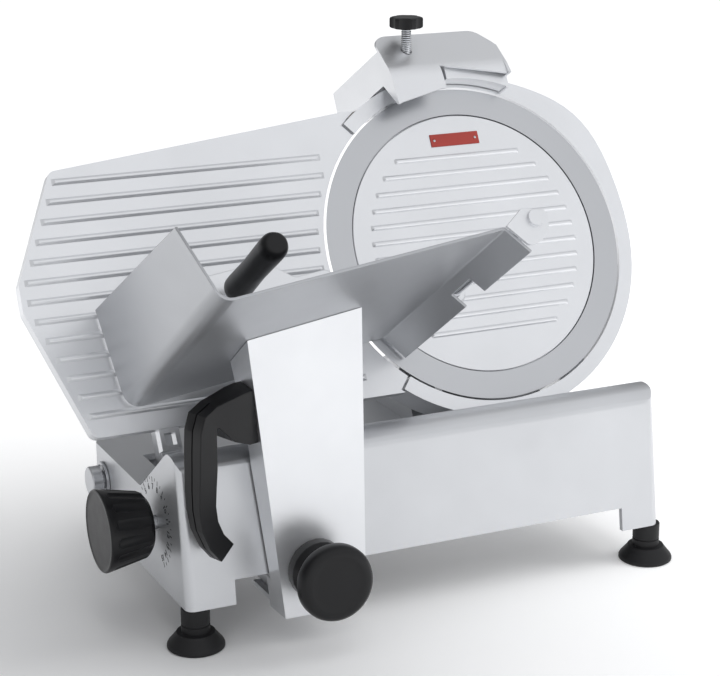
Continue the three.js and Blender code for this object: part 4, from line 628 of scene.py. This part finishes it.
FLANGE_DROP = math.radians(58)
FLANGE = TRAY @ plane((math.cos(FLANGE_DROP), 0, -math.sin(FLANGE_DROP)), (0, 1, 0),
                      (math.sin(FLANGE_DROP), 0, math.cos(FLANGE_DROP)), Vector((0.25, 0, 0)))
FLANGE_SCREWS = {"flange_screw_front": (0.0134, -0.259, 0), "flange_screw_rear": (0.0094, -0.0125, 0)}
screw = turned([(-0.0005, 0.0021), (0.0006, 0.0021), (0.001, 0.0017), (0.0011, 0.0011), (0.0004, 0.001)], 24)
for name, place in FLANGE_SCREWS.items():
    ready(laid(copied(screw), FLANGE @ Matrix.Translation(place)), name, "enamel", "carriage")
bpy.data.objects.remove(screw)


# The rest keep their own form: these with eased edges, and what hardly shows just merged

EDGE_WIDTHS = {"base_casting": 0.001, "thickness_shaft": 0.0003, "switch_bezel": 0.0005,
               "switch_button": 0.0006, "belt_cover": 0.0012, "slide_block": 0.001, "motor": 0.0015,
               "cover_knob": 0.001, "power_inlet": 0.0006, "gauge_bracket": 0.001,
               "motor_capacitor": 0.0015, "pusher_rod": 0.0008, "carriage_rail": 0.0006,
               "grinding_button": 0.0005, "honing_button": 0.0005}
for node, width in EDGE_WIDTHS.items():
    eased(node, width)
for node in sorted(set(nodes) - done):
    eased(node, 0)


# Stage: a pale floor with painted light: it glows more the farther it lies from a spot in front of the left
# end, and the missing glow there is a painted shadow

FLOOR_SIZE = 14
# The spot of the floor's painted shadow, and the distances in metres over which the floor's painted glow
# grows to its full strength
PAINTED_SHADOW_PLACE = (-0.3, -0.2, 0)
PAINTED_GLOW_FROM = 0.15
PAINTED_GLOW_TO = 1.05
PAINTED_GLOW_STRENGTH = 0.55


def pale_floor():
    bpy.ops.object.select_all(action="DESELECT")
    bpy.ops.mesh.primitive_plane_add(size=FLOOR_SIZE, location=(0, 0, 0))
    floor = picked()
    floor.name = "floor"
    pale = material("pale_floor", (0.9, 0.9, 0.9), 0, 0.75)
    tree = pale.node_tree
    shader = tree.nodes["Principled BSDF"]
    where = tree.nodes["Texture Coordinate"]
    # Painted light: the floor's emission grows with the distance from the painted shadow's spot
    away = tree.nodes.new("ShaderNodeVectorMath")
    away.operation = "DISTANCE"
    away.inputs[1].default_value = PAINTED_SHADOW_PLACE
    painted_glow = tree.nodes.new("ShaderNodeMapRange")
    painted_glow.inputs["From Min"].default_value = PAINTED_GLOW_FROM
    painted_glow.inputs["From Max"].default_value = PAINTED_GLOW_TO
    painted_glow.inputs["To Min"].default_value = 0
    painted_glow.inputs["To Max"].default_value = PAINTED_GLOW_STRENGTH
    shader.inputs["Emission Color"].default_value = (1, 1, 1, 1)
    tree.links.new(where.outputs["Object"], away.inputs[0])
    tree.links.new(away.outputs["Value"], painted_glow.inputs["Value"])
    tree.links.new(painted_glow.outputs["Result"], shader.inputs["Emission Strength"])
    floor.data.materials.append(pale)


pale_floor()


# Light: a soft room, brightest at the front and above, with white paper behind, and two lamps

BRIGHT_WAY = (0.3, -0.8, 0.5)
FADE_FROM = -0.1
FADE_TO = 0.9
ROOM_DIM = 0.3
ROOM_BRIGHT = 0.9
ROOM_COLOUR = (0.97, 0.98, 1, 1)


def studio_room():
    world = bpy.data.worlds.new("studio")
    bpy.context.scene.world = world
    world.use_nodes = True
    sky = world.node_tree
    sky.nodes.clear()
    where = sky.nodes.new("ShaderNodeTexCoord")
    toward = sky.nodes.new("ShaderNodeVectorMath")
    toward.operation = "DOT_PRODUCT"
    toward.inputs[1].default_value = BRIGHT_WAY
    fade = sky.nodes.new("ShaderNodeMapRange")
    fade.inputs["From Min"].default_value = FADE_FROM
    fade.inputs["From Max"].default_value = FADE_TO
    fade.inputs["To Min"].default_value = ROOM_DIM
    fade.inputs["To Max"].default_value = ROOM_BRIGHT
    sky.links.new(where.outputs["Generated"], toward.inputs[0])
    sky.links.new(toward.outputs["Value"], fade.inputs["Value"])
    room = sky.nodes.new("ShaderNodeBackground")
    room.inputs["Color"].default_value = ROOM_COLOUR
    paper = sky.nodes.new("ShaderNodeBackground")
    paper.inputs["Color"].default_value = (1, 1, 1, 1)
    rays = sky.nodes.new("ShaderNodeLightPath")
    choice = sky.nodes.new("ShaderNodeMixShader")
    surface = sky.nodes.new("ShaderNodeOutputWorld")
    sky.links.new(fade.outputs["Result"], room.inputs["Strength"])
    sky.links.new(rays.outputs["Is Camera Ray"], choice.inputs["Fac"])
    sky.links.new(room.outputs["Background"], choice.inputs[1])
    sky.links.new(paper.outputs["Background"], choice.inputs[2])
    sky.links.new(choice.outputs["Shader"], surface.inputs["Surface"])


studio_room()

LAMP_TARGET = Vector((0, 0, 0.2))


def softbox(name, place, width, height, power):
    bpy.ops.object.light_add(type="AREA", location=place)
    lamp = picked()
    lamp.name = name
    lamp.data.shape = "RECTANGLE"
    lamp.data.size = width
    lamp.data.size_y = height
    lamp.data.energy = power
    lamp.visible_glossy = False
    lamp.rotation_euler = (LAMP_TARGET - Vector(place)).to_track_quat("-Z", "Y").to_euler()


softbox("overhead", place=(0.2, -0.4, 2.4), width=2.4, height=1.6, power=12)
softbox("right_side", place=(2.3, -0.9, 1.5), width=1.2, height=1.2, power=24)


# Camera at the photograph's angle

CAMERA_FROM_BLADE = Vector((-0.8828, -1.6206, 0.4598))
CAMERA_WAY = Vector((0.4078, 0.8665, -0.2881))
CAMERA_LENS = 101.4
CAMERA_SENSOR = 36
bpy.ops.object.camera_add(location=CENTRE + CAMERA_FROM_BLADE)
camera = picked()
camera.name = "camera"
camera.rotation_euler = CAMERA_WAY.to_track_quat("-Z", "Y").to_euler()
camera.data.lens = CAMERA_LENS
camera.data.sensor_width = CAMERA_SENSOR
scene = bpy.context.scene
scene.camera = camera
scene.view_settings.view_transform = "Standard"
